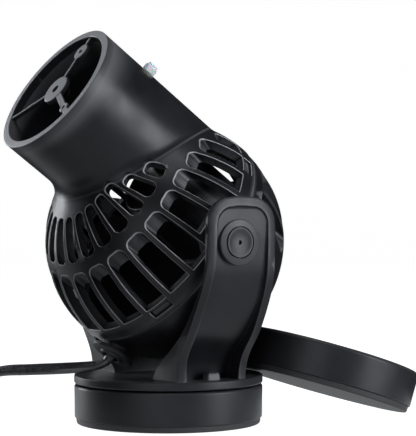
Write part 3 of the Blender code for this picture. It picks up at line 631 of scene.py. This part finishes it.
PLUG_PATH = (
    (16.0, -132.5, 14.5, 0), (24.6, -132.2, 13.9, 0), (33.6, -128.6, 11.6, 0), (38.6, -120.4, 9.8, 0),
    (38.4, -110.0, 10.0, 0), (32.6, -100.6, 12.4, 0), (24.0, -97.0, 14.8, 0), (16.6, -96.6, 15.4, 0),
    (8.4, -96.6, 15.4, 0),
)


def smooth(points, step):
    """Points about one step apart on a Catmull-Rom curve, with the last number as the cord's roll."""
    ends = [points[0]] + list(points) + [points[-1]]
    found = []
    for a, b, c, d in zip(ends, ends[1:], ends[2:], ends[3:]):
        length = sqrt(sum((q - p) ** 2 for p, q in zip(b[:3], c[:3])))
        count = max(1, ceil(length / step))
        for k in range(count):
            t = k / count
            found.append(tuple(catmull_rom(*values, t) for values in zip(a, b, c, d)))
    return found + [points[-1]]


def catmull_rom(p, q, r, s, t):
    return 0.5 * (2 * q + (r - p) * t + (2 * p - 5 * q + 4 * r - s) * t**2 + (3 * q - p - 3 * r + s) * t**3)


def eased(t):
    t = min(1.0, max(0.0, t))
    return t * t * (3 - 2 * t)


def coil_path():
    """Three turns inwards, three outwards on top of them, then up and off over the outermost."""
    low, high = LAYERS
    found = []
    for angle in range(COIL_FROM, COIL_TO + 1, 15):

        def after(start, over=60):
            return eased((angle - start) / over)

        radius = COIL_R + CORD_WIDE + 6.2 * (1 - after(194))
        radius -= CORD_WIDE * (after(554) + after(914))
        radius += CORD_WIDE * (after(1514) + after(1874))
        radius -= 2.4 * after(2230, 65)
        height = CORD_LIES + (low - CORD_LIES) * after(194) + (high - low) * after(1214)
        height += 2.8 * after(2180, 50)
        a = radians(angle)
        found.append((COIL_AT.x + radius * cos(a), COIL_AT.y + radius * sin(a), height, 0))
    return found


def cord_section():
    """A flat twin cord's outline: two round cores with a web between them."""
    half, core = CORD_THICK / 2, (CORD_WIDE - CORD_THICK) / 2
    section = []
    for side, first in ((1, -90), (-1, 90)):
        for k in range(9):
            a = radians(first + 180 * k / 8)
            section.append((side * core + half * cos(a), half * sin(a)))
        section.append((side * core * 0.4, side * half * 0.86))
        section.append((0.0, side * half * 0.66))
        section.append((-side * core * 0.4, side * half * 0.86))
    return section


def flat_cord(path):
    """A flat twin cord swept along (x, y, z, roll in degrees)."""
    spots = [Vector(p[:3]) for p in path]
    loops = []
    for k, spot in enumerate(spots):
        ahead = (spots[min(k + 1, len(spots) - 1)] - spots[max(k - 1, 0)]).normalized()
        across = ahead.cross(Vector((0, 0, 1))).normalized()
        upward = across.cross(ahead)
        roll = radians(path[k][3])
        wide = across * cos(roll) + upward * sin(roll)
        thick = upward * cos(roll) - across * sin(roll)
        loops.append([spot + wide * x + thick * y for x, y in cord_section()])
    return lofted(loops)


def make_cord():
    lead_path = smooth(LEAD_PATH, 1.6)
    lead = shaded(piece("cord_lead_look", flat_cord(lead_path), CORD))
    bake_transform(lead)
    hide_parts("cord_lead")

    main_path = smooth(list(RUN_PATH) + coil_path() + list(SWITCH_PATH), 2.4)
    main = shown(
        piece("cord_main_look", flat_cord(main_path), CORD),
        "yoke", "cord_jacket", "cord_run", "cord_coil", "cord_to_switch",
    )
    tail_path = smooth(PLUG_PATH, 1.8)
    tail = shown(piece("cord_tail_look", flat_cord(tail_path), CORD), "yoke", "cord_jacket", "cord_to_plug")
    return (lead, lead_path), (main, main_path), (tail, tail_path)


def make_tie():
    """A rubber strap round the coil."""
    turn = frame_at((COIL_AT.x * MM + COIL_R * MM, COIL_AT.y * MM, 3.7 * MM), (0, -1, 0), (1, 0, 0))
    loops = []
    for outline in (rounded_rectangle(16.7, 7.1, 2.0), rounded_rectangle(15.6, 6.2, 1.5)):
        for z in (-2.4, -2.1, 0.0, 2.1, 2.4):
            shrink = 0.2 if abs(z) > 2.2 else 0.0
            side = shrink if outline[0][0] > 8 else -shrink
            loops.append([(x, y, z) for x, y in inset(outline, side)])
    loops = loops[:5] + loops[:4:-1]
    n = len(loops[0])
    points = [p for loop in loops for p in loop]
    rings = [list(range(k * n, k * n + n)) for k in range(len(loops))]
    strap = (points, ring_faces(rings, True))
    return shown(piece("cord_tie_look", strap, RUBBER, turn), "yoke", "rubber", "cord_tie")


# ---- the ball's cage ----

SLOT_STEP = 15
LONG_SLOT, SHORT_SLOT = 12.0, 11.2
SLOT_SHELLS = ((-6.0, 0.0), (-0.32, 0.0), (-0.17, 0.04), (-0.06, 0.13), (0.0, 0.27), (0.08, 0.45), (6.0, 0.6))
HAIRLINE = 0.03
LATCHES = (45, 135, 225, 315)
LATCH_WIDTH = 11.0
REAR_SLOTS_TO = 60
SEAT_R = 8.3


def cage_section(turn, ball_wall, tube_wall, end, balls=20, bends=8, tubes=6):
    """Half-section of ball, neck and nozzle at an angle about the nozzle: (radius, height)."""
    ball, tube = BALL_R - ball_wall, NOZZLE_R - tube_wall
    bend = NECK_FILLET + (ball_wall + tube_wall) / 2
    middle = -NOZZLE_OFFSET * cos(turn)
    slice_r = sqrt(ball**2 - (NOZZLE_OFFSET * sin(turn)) ** 2)
    across = tube + bend - middle
    height = sqrt((slice_r + bend) ** 2 - across**2)
    top = atan2(height, across)
    found = [(middle + slice_r * cos(top * k / balls), slice_r * sin(top * k / balls)) for k in range(balls)]
    for k in range(bends + 1):
        a = pi + top * (1 - k / bends)
        found.append((tube + bend + bend * cos(a), height + bend * sin(a)))
    found += [(tube, height + (end - height) * k / tubes) for k in range(1, tubes + 1)]
    return found


def front_shell():
    end = NOZZLE_END - GUARD_DEPTH
    points, rings = [], []
    for k in range(ROUND):
        a = 2 * pi * k / ROUND
        turn = atan2(BALL_R * sin(a), BALL_R * cos(a) - NOZZLE_OFFSET)
        outside = cage_section(turn, 0.0, 0.0, end)
        outside[:1] = [(outside[0][0] - 0.2, 0.0), (outside[0][0], 0.2)]
        loop = outside + cage_section(turn, BALL_WALL, TUBE_WALL, end)[::-1]
        rings.append(range(len(points), len(points) + len(loop)))
        points += [(r * sin(turn), NOZZLE_OFFSET + r * cos(turn), h) for r, h in loop]
    return points, ring_faces(rings, True)


def drawn(height, least):
    """A slot's end cut along the mould's draw: its height at a distance from the ball's middle."""
    return lambda distance: sqrt(max(distance**2 - BALL_R**2 + height**2, least**2))


def level(height):
    return lambda distance: height


def slot_loop(turn, width, low, high, corners, distance, spread):
    """One slot's outline on a sphere, moved outwards by a spread."""
    scale = cos(asin((low(BALL_R) + high(BALL_R)) / 2 / BALL_R)) * BALL_R
    x = radians(width / 2) * scale + spread
    y0 = asin(low(distance) / distance) * BALL_R - spread
    y1 = asin(high(distance) / distance) * BALL_R + spread
    r0, r1 = corners
    outline = sided([(x, y0, r0), (x, y1, r1), (-x, y1, r1), (-x, y0, r0)], 5, 5)
    loop = []
    for along, up in outline:
        a, tip = radians(turn) + along / scale, up / BALL_R
        loop.append((distance * cos(tip) * sin(a), distance * cos(tip) * cos(a), distance * sin(tip)))
    return loop


def sided(corners, steps, cuts):
    """A filleted outline with its straight sides cut into short ones."""
    found = []
    rounds = [filleted(corners[k - 1:] + corners[:k - 1], steps) for k in range(1, len(corners) + 1)]
    starts = [steps + 1 if corner[2] > 0 else 1 for corner in corners]
    arcs = [rounds[k][:starts[k]] for k in range(len(corners))]
    for arc, following in zip(arcs, arcs[1:] + arcs[:1]):
        found += arc
        (x0, y0), (x1, y1) = arc[-1], following[0]
        found += [(x0 + (x1 - x0) * k / cuts, y0 + (y1 - y0) * k / cuts) for k in range(1, cuts)]
    return found


def slot_cutter(turn, width, low, high, corners):
    return lofted(
        [slot_loop(turn, width, low, high, corners, BALL_R + out, spread) for out, spread in SLOT_SHELLS]
    )


def aside(turn):
    """How far a slot is from the nozzle's side, in degrees."""
    return min(turn, 360 - turn)


def long_slots(top_of):
    cuts = []
    for turn in range(0, 360, SLOT_STEP):
        top = top_of(aside(turn))
        if top:
            low = 10.6 if aside(turn) == 90 else 5.0
            cuts.append(
                slot_cutter(turn, LONG_SLOT, level(low), drawn(top, low + (top - low) * 0.4), (0.35, 2.4))
            )
    return cuts


def front_slots():
    tops = {30: 14.6, 45: 21.0, 60: 24.0}
    cuts = long_slots(lambda side: tops.get(side, 25.4) if side >= 30 else None)
    tops = {75: 32.6, 90: 35.2}
    for turn in range(0, 360, SLOT_STEP):
        if aside(turn) >= 75:
            top = tops.get(aside(turn), 37.2)
            cuts.append(slot_cutter(turn, SHORT_SLOT, drawn(28.2, 14.0), level_out(top), (2.1, 1.9)))
    return cuts


def level_out(height):
    """A slot's end square to the ball's surface."""
    return lambda distance: height * distance / BALL_R


def flipped(body):
    points, faces = body
    return [(x, y, -z) for x, y, z in points], faces


def make_cage():
    cage = piece("front_cage_look", front_shell(), CAGE, PUMP)
    combine(cage, many(front_slots()), "DIFFERENCE", PUMP)
    ends = level_out(1.2), level_out(4.2)
    windows = [slot_cutter(turn, LATCH_WIDTH, *ends, (0.25, 0.25)) for turn in LATCHES]
    combine(cage, many(windows), "DIFFERENCE", PUMP)
    seats = [moved(drum(SEAT_R, 30, 50, 64), SIDEWAYS[side]) for side in SIDES]
    combine(cage, many(seats), "DIFFERENCE", PUMP)
    shown(cage, "pump", "black_plastic", "front_cage")

    radius, wall, rings = BALL_R - 0.3, 2.4, 40
    outside = [(radius - 0.25, -0.25), (radius, -0.5)]
    for k in range(1, rings + 1):
        a = pi / 2 * k / rings
        outside.append((radius * cos(a), -radius * sin(a)))
    inside = [(radius - wall, -0.25)]
    for k in range(1, rings + 1):
        a = pi / 2 * k / rings
        inside.append(((radius - wall) * cos(a), -(radius - wall) * sin(a)))
    shell = turned([(r, h, 0) for r, h in outside + inside[::-1]])
    rear = piece("rear_cage_look", shell, REAR, PUMP)
    cuts = long_slots(lambda side: 26.0 if side <= REAR_SLOTS_TO else None)
    combine(rear, flipped(many(cuts)), "DIFFERENCE", PUMP)
    combine(rear, many(seats), "DIFFERENCE", PUMP)
    tongues = []
    for turn in LATCHES:
        shells = ((-3.4, -0.5), (-1.1, -0.5), (-0.85, -0.6), (-0.75, -0.8))
        tongues.append(lofted([
            slot_loop(turn, LATCH_WIDTH, *ends, (0.2, 0.2), BALL_R + out, more) for out, more in shells
        ]))
    collar = turned([(15.9, -26, 0), (17.9, -26, 0), (17.9, -11, 0.4), (15.9, -11, 0.4)], 72)
    extra = piece("rear_cage_inner_look", many(tongues + [moved(collar, UP_NOZZLE)]), REAR, PUMP)
    shown(rear, "pump", "dark_plastic", "rear_cage")
    shown(extra, "pump", "dark_plastic")


# ---- nozzle ----

PEG_TURN, PEG_HEIGHT = -22, 43.5


def bar(angle, half, low, high, first, last, edge=0.3):
    """A flat bar out from the nozzle's axis, seen from the front."""
    outline = [(half, first), (half, last), (-half, last), (-half, first)]
    body = plate(sided([(x, y, 0.05) for x, y in outline], 2, 2), low, high, edge)
    return moved(body, Matrix.Rotation(-radians(angle), 4, "Z"))


def eyelet(angle, distance, hole, radius, low, high):
    ring = turned([(hole, low, 0.2), (radius, low, 0.25), (radius, high, 0.35), (hole, high, 0.2)], 40, 3)
    a = radians(angle)
    return moved(ring, Matrix.Translation((distance * sin(a), distance * cos(a), 0)))


def make_guard():
    top, low = NOZZLE_END, NOZZLE_END - GUARD_DEPTH + HAIRLINE
    inner, outer = NOZZLE_R - TUBE_WALL, NOZZLE_R
    lip = [(inner, low, 0.1), (outer, low, 0), (outer, top, 0.35), (inner, top, 0.25)]
    bodies = [turned(lip, ROUND, 6)]
    hub = [
        (0, 60.2, 0), (3.1, 60.2, 0.5), (3.1, 62.6, 0), (5.4, 62.6, 0.3), (5.4, 64.3, 0.5), (1.4, 64.3, 0.25),
        (1.4, 60.8, 0), (0, 60.8, 0),
    ]
    bodies.append(turned(hub, 64, 4))
    bodies += [bar(0, 0.62, 62.75, 64.1, 5.1, 13.1), bar(0, 0.62, 62.75, 64.1, 18.9, inner + 0.6)]
    bodies.append(eyelet(0, 16.0, 0.8, 3.1, 62.8, 64.2))
    bodies.append(bar(240, 0.62, 62.7, 64.15, 5.1, inner + 0.6))
    bodies += [bar(120, 1.15, 62.75, 64.05, 5.1, 15.1), bar(120, 1.15, 62.75, 64.05, 18.1, inner + 0.6)]
    bodies.append(eyelet(120, 16.6, 0.65, 1.9, 62.85, 64.12))
    guard = piece("front_guard_look", many(bodies), RIM, NOZZLE)
    shown(guard, "pump", "rim_plastic", "front_guard")


def make_peg():
    """A small milky plug pushed into the nozzle's wall, with a narrower tip."""
    foot = plate(rounded_rectangle(3.0, 4.2, 0.5), 0.05, 2.3, 0.3)
    tip = plate(rounded_rectangle(2.3, 3.3, 0.5), 2.2, 3.2, 0.3)
    turn = Matrix.Rotation(radians(PEG_TURN), 4, "Z")
    stand = turn @ shift(0, NOZZLE_R, PEG_HEIGHT) @ Matrix.Rotation(-pi / 2, 4, "X")
    peg = piece("nozzle_peg_look", moved(many([foot, tip]), stand), CLEAR, NOZZLE)
    shown(peg, "pump", "clear_plastic", "nozzle_peg")


# ---- motor and rotor ----

BLADE_MIDDLE = 43.1


def make_motor():
    housing = [
        (6.9, 16, 0.3), (14.7, 16, 1.2), (15.5, 14, 0.5), (15.5, -20, 0.3), (13.9, -20, 0), (13.9, 14, 0),
        (8.1, 14, 0), (8.1, -13.2, 0), (0, -13.2, 0), (0, -12, 0), (6.9, -12, 0),
    ]
    ribs = [bar(60 * k, 0.9, -8, 13, 14.9, 15.8, 0.25) for k in range(6)]
    body = piece("motor_housing_look", many([turned(housing, 96)] + ribs), MOTOR, NOZZLE)
    shown(body, "pump", "motor_plastic", "motor_housing")
    cap = [
        (0, -22.2, 0), (14.8, -22.2, 0.9), (15.4, -20.3, 0.2), (13.5, -20.3, 0), (13.5, -19.3, 0),
        (0, -19.3, 0),
    ]
    screw = turned([(0, -22.9, 0), (1.5, -22.9, 0.3), (1.5, -22.0, 0), (0, -22.0, 0)], 24)
    screws = []
    for k in range(4):
        a = radians(45 + 90 * k)
        screws.append(moved(screw, Matrix.Translation((11 * cos(a), 11 * sin(a), 0))))
    lid = piece("motor_cap_look", many([turned(cap, 96)] + screws), MOTOR, NOZZLE)
    shown(lid, "pump", "motor_plastic", "motor_cap")


def blade(start):
    """A twisted blade with a thin trailing edge: its pitch lies down towards the tip."""
    loops = []
    for k in range(17):
        out = k / 16
        radius = 3.6 + 16.6 * out
        pitch = radians(56 - 30 * out)
        chord = (3.6 + 3.6 * sin(pi * (0.2 + 0.6 * out))) * (1 if k < 15 else 0.93 if k == 15 else 0.72)
        loop = []
        for j in range(20):
            a = 2 * pi * j / 20
            along, thick = chord * cos(a), 0.75 * sin(a) * (0.62 + 0.38 * cos(a))
            side = along * cos(pitch) - thick * sin(pitch)
            up = max(-3.7, min(3.7, along * sin(pitch) + thick * cos(pitch)))
            x, y = radius * cos(start) - side * sin(start), radius * sin(start) + side * cos(start)
            loop.append((x, y, BLADE_MIDDLE + up))
        loops.append(loop)
    return lofted(loops)


def make_rotor():
    hub = turned([(1.8, 39.2, 0), (4.6, 39.2, 0.4), (4.6, 47.0, 0.4), (1.8, 47.0, 0)], 64)
    blades = [blade(radians(120 * k)) for k in range(3)]
    propeller = piece("propeller_look", many([hub] + blades), BLADE, NOZZLE)
    shown(propeller, "rotor", "blade_plastic", "propeller")
    nose = [
        (1.8, 47.3, 0), (4.5, 47.3, 0.2), (4.2, 49.8, 1.2), (2.6, 52.2, 1.2), (0, 52.8, 0), (0, 49.4, 0),
        (1.8, 49.4, 0),
    ]
    cap = piece("propeller_cap_look", turned(nose, 64), MOTOR, NOZZLE)
    shown(cap, "rotor", "motor_plastic", "propeller_cap")


# ---- yoke ----

ARM_FOOT, ARM_HEAD = 15.6, 68.6
ARM_CORNER, ARM_RIM = 8.9, 3.2
ARM = (
    # height outside; outside, height inside, inside, half-width, depth of the panel, how much wider behind
    (15.6, (29.2, 15.6, 12.0, 12.7, 7.0, 1.3)),
    (19.0, (29.3, 18.0, 13.2, 12.8, 6.6, 1.3)),
    (22.6, (29.8, 22.2, 17.2, 13.1, 6.0, 1.3)),
    (26.2, (31.6, 26.2, 23.2, 13.3, 5.3, 1.3)),
    (33.0, (36.4, 32.0, 30.6, 13.4, 4.3, 1.6)),
    (43.8, (41.8, 40.6, 37.2, 12.9, 3.3, 2.2)),
    (50.6, (44.5, 48.8, 41.5, 12.4, 2.4, 2.4)),
    (55.8, (45.6, 54.4, 43.0, 12.0, 1.7, 2.5)),
    (63.5, (46.15, 63.5, 43.2, 11.8, 1.0, 2.5)),
    (71.4, (46.2, 71.4, 43.2, 11.7, 0.5, 2.5)),
    (80.0, (46.2, 80.0, 43.2, 11.7, 0.4, 2.5)),
)


BOSS_X, BOSS_Y = 25.9, 0.9
BOSS = ((3.6, 5.2, 16.0), (3.3, 4.9, 18.2), (2.9, 4.4, 18.9), (2.3, 3.8, 19.2), (1.5, 2.8, 19.3))


def arm_at(height):
    """The arm's row of numbers at a height, on smooth curves between the rows of ARM."""
    rows = [ARM[0]] + list(ARM) + [ARM[-1]]
    for a, b, c, d in zip(rows, rows[1:], rows[2:], rows[3:]):
        if height <= c[0] or c is ARM[-1]:
            break
    span = c[0] - b[0]
    t = (height - b[0]) / span
    found = []
    for p, q, r, s in zip(a[1], b[1], c[1], d[1]):
        first = (r - p) / (c[0] - a[0]) * span
        last = (s - q) / (d[0] - b[0]) * span
        found.append(
            (2 * t**3 - 3 * t**2 + 1) * q + (t**3 - 2 * t**2 + t) * first
            + (3 * t**2 - 2 * t**3) * r + (t**3 - t**2) * last
        )
    return found


def arm_edge(side):
    """Half of the arm's outline, from its foot over a corner of the head to the middle: (across, height)."""
    found = []
    for k in range(41):
        height = ARM_FOOT + (ARM_HEAD - ARM_FOOT) * k / 40
        found.append((side * arm_at(height)[3] + (arm_at(height)[5] if side > 0 else 0), height))
    corner = found[-1][0] - side * ARM_CORNER
    for k in range(1, 11):
        a = pi / 2 * k / 10
        found.append((corner + side * ARM_CORNER * cos(a), ARM_HEAD + ARM_CORNER * sin(a)))
    for k in range(1, 5):
        across = corner * (1 - k / 4)
        found.append((across, ARM_HEAD + ARM_CORNER + 0.3 * (1 - (across / corner) ** 2)))
    return found


def arm_outline():
    """The arm's outline from its +Y foot over the head to its -Y foot."""
    return arm_edge(1) + arm_edge(-1)[-2::-1]


def inset_path(path, distance):
    """An open path moved to its left."""
    found = []
    for k, (x, y) in enumerate(path):
        back, ahead = Vector(path[max(k - 1, 0)]), Vector(path[min(k + 1, len(path) - 1)])
        along = (ahead - back).normalized()
        found.append((x - along.y * distance, y + along.x * distance))
    return found


def arm_body(side):
    """One arm: a curved plate whose rims stand out round a sunken panel that is open at the foot."""
    outline = arm_outline()

    def spot(across, height, depth):
        out, in_height, inn, _, recess, _ = arm_at(height)
        inward = Vector((inn - out, in_height - height))
        far = inward.length
        inward.normalize()
        named = {"inner": far, "inner_edge": far - 0.4, "panel": recess, "panel_edge": recess - 0.25}
        place = Vector((out, height)) + inward * named.get(depth, depth)
        return (side * place.x, PIVOT_AT.y + across, place.y)

    bands = (
        (0.4, "inner"), (0.1, "inner_edge"), (0.0, 1.2), (0.0, 0.85), (0.08, 0.55), (0.3, 0.38), (0.7, 0.28),
        (1.8, 0.12), (ARM_RIM - 0.35, 0.0), (ARM_RIM - 0.1, 0.1), (ARM_RIM, 0.35),
        (ARM_RIM + 0.25, "panel_edge"), (ARM_RIM + 0.6, "panel"),
    )
    points, rings = [], []
    for shrink, depth in bands:
        path = inset_path(outline, shrink)
        rings.append(list(range(len(points), len(points) + len(path))))
        points += [spot(y, z, depth) for y, z in path]
    n = len(outline)
    faces = []
    for low, high in zip(rings, rings[1:]):
        for k in range(n - 1):
            faces.append([low[k], low[k + 1], high[k + 1], high[k]])
    for ring in (rings[0], rings[-1]):
        for k in range(n // 2):
            faces.append(list(dict.fromkeys([ring[k], ring[k + 1], ring[n - 2 - k], ring[n - 1 - k]])))
    faces.append([ring[0] for ring in rings] + [ring[-1] for ring in rings[::-1]])
    return points, faces


def make_yoke():
    disc = [
        (2.0, 10.6, 0), (7.0, 10.6, 0), (7.0, 13.9, 0), (32.5, 13.9, 0.5), (32.5, 16.7, 0.5), (2.0, 16.7, 0),
    ]
    bosses = []
    for side in SIDES:
        loops = []
        for long, wide, height in BOSS:
            outline = rounded_rectangle(long, wide, 0.6)
            loops.append([(side * BOSS_X + x, BOSS_Y + y, height) for x, y in outline])
        bosses.append(lofted(loops))
    bodies = [turned(disc, ROUND)] + [arm_body(side) for side in SIDES] + bosses
    shown(piece("yoke_bracket_look", many(bodies), SHELL), "yoke", "black_plastic", "yoke_bracket")
    for word, side in (("right", 1), ("left", -1)):
        head = [
            (0, 37, 0), (3.0, 37, 0), (3.0, 45.0, 0), (7.5, 45.0, 0), (7.5, 46.15, 0.3), (5.3, 46.4, 0.1),
            (5.3, 45.1, 0), (0, 45.1, 0),
        ]
        pin = piece(f"pivot_pin_{word}_look", moved(turned(head, 72), SIDEWAYS[side]), SHELL, PIVOT)
        shown(pin, "yoke", "black_plastic", "pivot_pin_" + word)
        dish = [(0, 45.15, 0), (4.95, 45.15, 0), (4.95, 46.6, 0.18)] + [
            (0.8 + 3.6 * t, 46.15 + 0.42 * t * t, 0) for t in (1.0, 0.85, 0.7, 0.55, 0.4, 0.25, 0.1, 0.0)
        ] + [(0.65, 45.3, 0.05), (0, 45.3, 0)]
        cap = piece(f"pivot_cap_{word}_look", moved(turned(dish, 72), SIDEWAYS[side]), SHELL, PIVOT)
        shown(cap, "yoke", "black_plastic", "pivot_cap_" + word)


# ---- base and leaning disc ----

DISC_TOP = 14.4
PAD = [(0, 0, 0), (31.6, 0, 0.5), (31.8, 2.0, 0), (0, 2.0, 0)]


def make_base():
    housing = [
        (7.3, 11.4, 0), (30.4, 11.4, 0), (30.4, 2.1, 0), (32.3, 2.1, 0.35), (32.45, 13.3, 0.8),
        (7.3, 13.3, 0),
    ]
    shown(piece("base_housing_look", turned(housing), SHELL), "base", "black_plastic", "base_housing")
    shown(piece("base_pad_look", turned(PAD), RUBBER), "base", "rubber", "base_pad")


def make_disc():
    top = DISC_TOP
    housing = [
        (0, top - 2, 0), (30.4, top - 2, 0), (30.4, 2.1, 0), (32.35, 2.1, 0.35), (32.5, top, 1.4),
        (27.0, top, 0.3), (26.6, top - 0.3, 0.2), (0, top - 0.3, 0),
    ]
    body = piece("outer_housing_look", turned(housing), SHELL, DISC)
    shown(body, "outer_disc", "black_plastic", "outer_housing")
    shown(piece("outer_pad_look", turned(PAD), RUBBER, DISC), "outer_disc", "rubber", "outer_pad")


# ---- gland, switch and plug ----

CORD_HOLE_DROP = 5.7
ROCKER_TILT = 8
PLUG_REACH = 23.0


def make_gland():
    profile = [
        (2.95, 36.6, 0), (4.0, 36.6, 0), (4.0, 42.5, 0), (7.5, 42.6, 0.3), (7.6, 44.0, 0.45),
        (4.3, 44.0, 0.1),
        (4.0, 44.7, 0.25), (2.95, 44.7, 0.2),
    ]
    down = shift(0, 0, -CORD_HOLE_DROP) @ Matrix.Rotation(pi / 2, 4, "X")
    gland = piece("cord_gland_look", moved(turned(profile, 72), down), RUBBER, PUMP)
    shown(gland, "pump", "rubber", "cord_gland")


SWITCH_LONG, SWITCH_WIDE, SWITCH_HIGH, SWITCH_SPLIT = 58.0, 25.4, 15.0, 7.4


def shell_loops(steps):
    """Rounded rectangles of the switch's plan: (shrink, height) each."""
    loops = []
    for shrink, height in steps:
        outline = rounded_rectangle(SWITCH_LONG - 2 * shrink, SWITCH_WIDE - 2 * shrink, 3.8 - shrink * 0.6, 8)
        loops.append([(x, y, height) for x, y in outline])
    return loops


def make_switch():
    low, high = box_mm("switch_lower_shell")
    here = Matrix.Translation(((low.x + high.x) / 2 * MM, (low.y + high.y) / 2 * MM, low.z * MM)) @ TABLE
    split, top = SWITCH_SPLIT, SWITCH_HIGH
    tray = shell_loops((
        (1.9, 0.0), (1.2, 0.1), (0.45, 0.6), (0.1, 1.3), (0.0, 2.2), (0.0, split - 0.25), (0.25, split),
    ))
    lower = piece("switch_lower_look", lofted(tray), SWITCH, here)
    room = rounded_rectangle(SWITCH_LONG - 5, SWITCH_WIDE - 5, 2.0)
    combine(lower, plate(room, 1.8, 20.0, 0.1), "DIFFERENCE", here)
    lid = shell_loops((
        (0.25, split + 0.12), (0.0, split + 0.35), (0.0, top - 3.4), (0.12, top - 2.9), (0.5, top - 2.3),
        (1.1, top - 1.9), (1.75, top - 1.75), (1.95, top - 1.6), (2.0, top - 0.5), (2.15, top - 0.15),
        (2.5, top),
    ))
    upper = piece("switch_upper_look", lofted(lid), SWITCH, here)
    combine(upper, plate(room, -5.0, top - 2.0, 0.1), "DIFFERENCE", here)
    combine(upper, lofted([
        [(x, y, z) for x, y in rounded_rectangle(19.6 + 2 * out, 13.2 + 2 * out, 6.3 + out, 10)]
        for out, z in ((0, 5.0), (0, top - 0.4), (0.12, top - 0.15), (0.4, top + 0.02), (1.2, top + 1.0))
    ]), "DIFFERENCE", here)
    lugs = [plate([(2.2, y - 0.9), (2.2, y + 0.9), (-2.2, y + 0.9), (-2.2, y - 0.9)], 9.4, top - 1.6, 0.1)
            for y in (-7.6, 7.6)]
    combine(upper, many(lugs), "UNION", here)
    shown(lower, "yoke", "switch_plastic", "switch_lower_shell")
    shown(upper, "yoke", "switch_plastic", "switch_upper_shell")
    tilt = Matrix.Translation(Vector(JOINTS["rocker"]["pos_m"])) @ TABLE
    tilt = tilt @ Matrix.Rotation(radians(ROCKER_TILT), 4, "Y")
    loops = []
    for out, z in (
        (-1.2, -2.4), (-0.2, -1.6), (0.0, -1.0), (0.0, 2.9), (-0.1, 3.35), (-0.4, 3.65), (-0.9, 3.7),
        (-1.3, 3.5), (-2.4, 3.2), (-3.8, 3.0), (-5.2, 2.92),
    ):
        loops.append([(x, y, z) for x, y in rounded_rectangle(17.4 + 2 * out, 11.4 + 2 * out, 5.6 + out, 10)])
    rocker = piece("switch_rocker_look", lofted(loops), ROCKER, tilt)
    mark = plate(rounded_rectangle(1.3, 1.3, 0.6), 2.9, 3.3, 0.1)
    dot = piece("rocker_mark_look", moved(mark, shift(5.6, 0, 0)), PALE, tilt)
    shown(rocker, "rocker", "rocker_plastic", "switch_rocker")
    shown(dot, "rocker", "rocker_plastic")
    return [lower, upper]


def make_plug():
    low, high = box_mm("plug_body")
    middle = ((high.x - PLUG_REACH) * MM, (low.y + high.y) / 2 * MM, (low.z + high.z) / 2 * MM)
    here = Matrix.Translation(middle) @ TABLE
    sizes = [
        (-16.0, 19.6, 14.0), (-15.8, 20.8, 15.2), (-15.0, 22.0, 16.4), (-8.0, 22.0, 16.4), (-5.0, 20.8, 15.6),
        (-1.0, 18.0, 14.0), (2.0, 17.0, 13.4), (10.5, 16.2, 12.7), (12.6, 15.4, 11.8), (13.6, 13.6, 10.2),
        (14.2, 9.4, 7.4),
    ]
    for k in range(6):
        x, wide = 14.6 + k * 1.4, 8.2 - 0.22 * k
        tall = wide * 0.78
        sizes += [(x, wide, tall), (x + 0.75, wide, tall)]
        sizes += [(x + 0.85, wide - 1.1, tall - 1.1), (x + 1.3, wide - 1.1, tall - 1.1)]
    sizes.append((PLUG_REACH, 6.9, 5.2))
    loops = []
    for x, wide, tall in sizes:
        outline = rounded_rectangle(wide, tall, min(wide, tall) * 0.3, 6)
        loops.append([(x, y, z) for y, z in outline])
    body = piece("plug_body_look", lofted(loops), RUBBER, here)
    grips = [moved(plate(rounded_rectangle(1.0, 10.4, 0.45), side * 6.5 - 0.6, side * 6.5 + 0.6, 0.25),
                   shift(4.2 + 2 * k, 0, 0)) for k in range(4) for side in SIDES]
    body_grips = piece("plug_grips_look", many(grips), RUBBER, here)
    blades = []
    for word, side in (("right", -1), ("left", 1)):
        outline = sided([(-9.3, 3.15, 0), (-33.2, 3.15, 1.6), (-33.2, -3.15, 1.6), (-9.3, -3.15, 0)], 5, 3)
        strip = plate(outline, -0.75, 0.75, 0.2)
        stand = here @ shift(0, side * 6.35, 0) @ Matrix.Rotation(pi / 2, 4, "X")
        prong = piece(f"plug_blade_{word}_look", strip, BRASS, stand)
        bore = moved(drum(1.6, -3, 3, 32), shift(-28.6, 0, 0))
        combine(prong, bore, "DIFFERENCE", stand)
        blades.append(shown(prong, "yoke", "brass", "plug_blade_" + word))
    shown(body, "yoke", "rubber", "plug_body")
    shown(body_grips, "yoke", "rubber")
    return [body, body_grips] + blades


# ---- CAD nodes that stay ----


def finish_nodes():
    """Gives each CAD node that shows its material and small rounded edges."""
    slots = {part["node"]: part["material_slot"] for part in frame["record"]["subparts"]}
    for name, node in frame["nodes"].items():
        if node.hide_render:
            continue
        node.data.materials.clear()
        node.data.materials.append(SLOTS[slots[name]])
        weld = node.modifiers.new("weld", "WELD")
        weld.merge_threshold = 1e-6
        edge = node.modifiers.new("bevel", "BEVEL")
        edge.width = 0.15 * MM
        edge.segments = 2
        edge.limit_method = "ANGLE"
        edge.angle_limit = radians(35)


make_camera()
make_studio()
make_floor()
make_cage()
make_guard()
make_peg()
make_motor()
make_rotor()
make_yoke()
make_base()
make_disc()
make_gland()
SWITCH_PIECES = make_switch()
PLUG_PIECES = make_plug()
CORDS = make_cord()
TIE = make_tie()
finish_nodes()
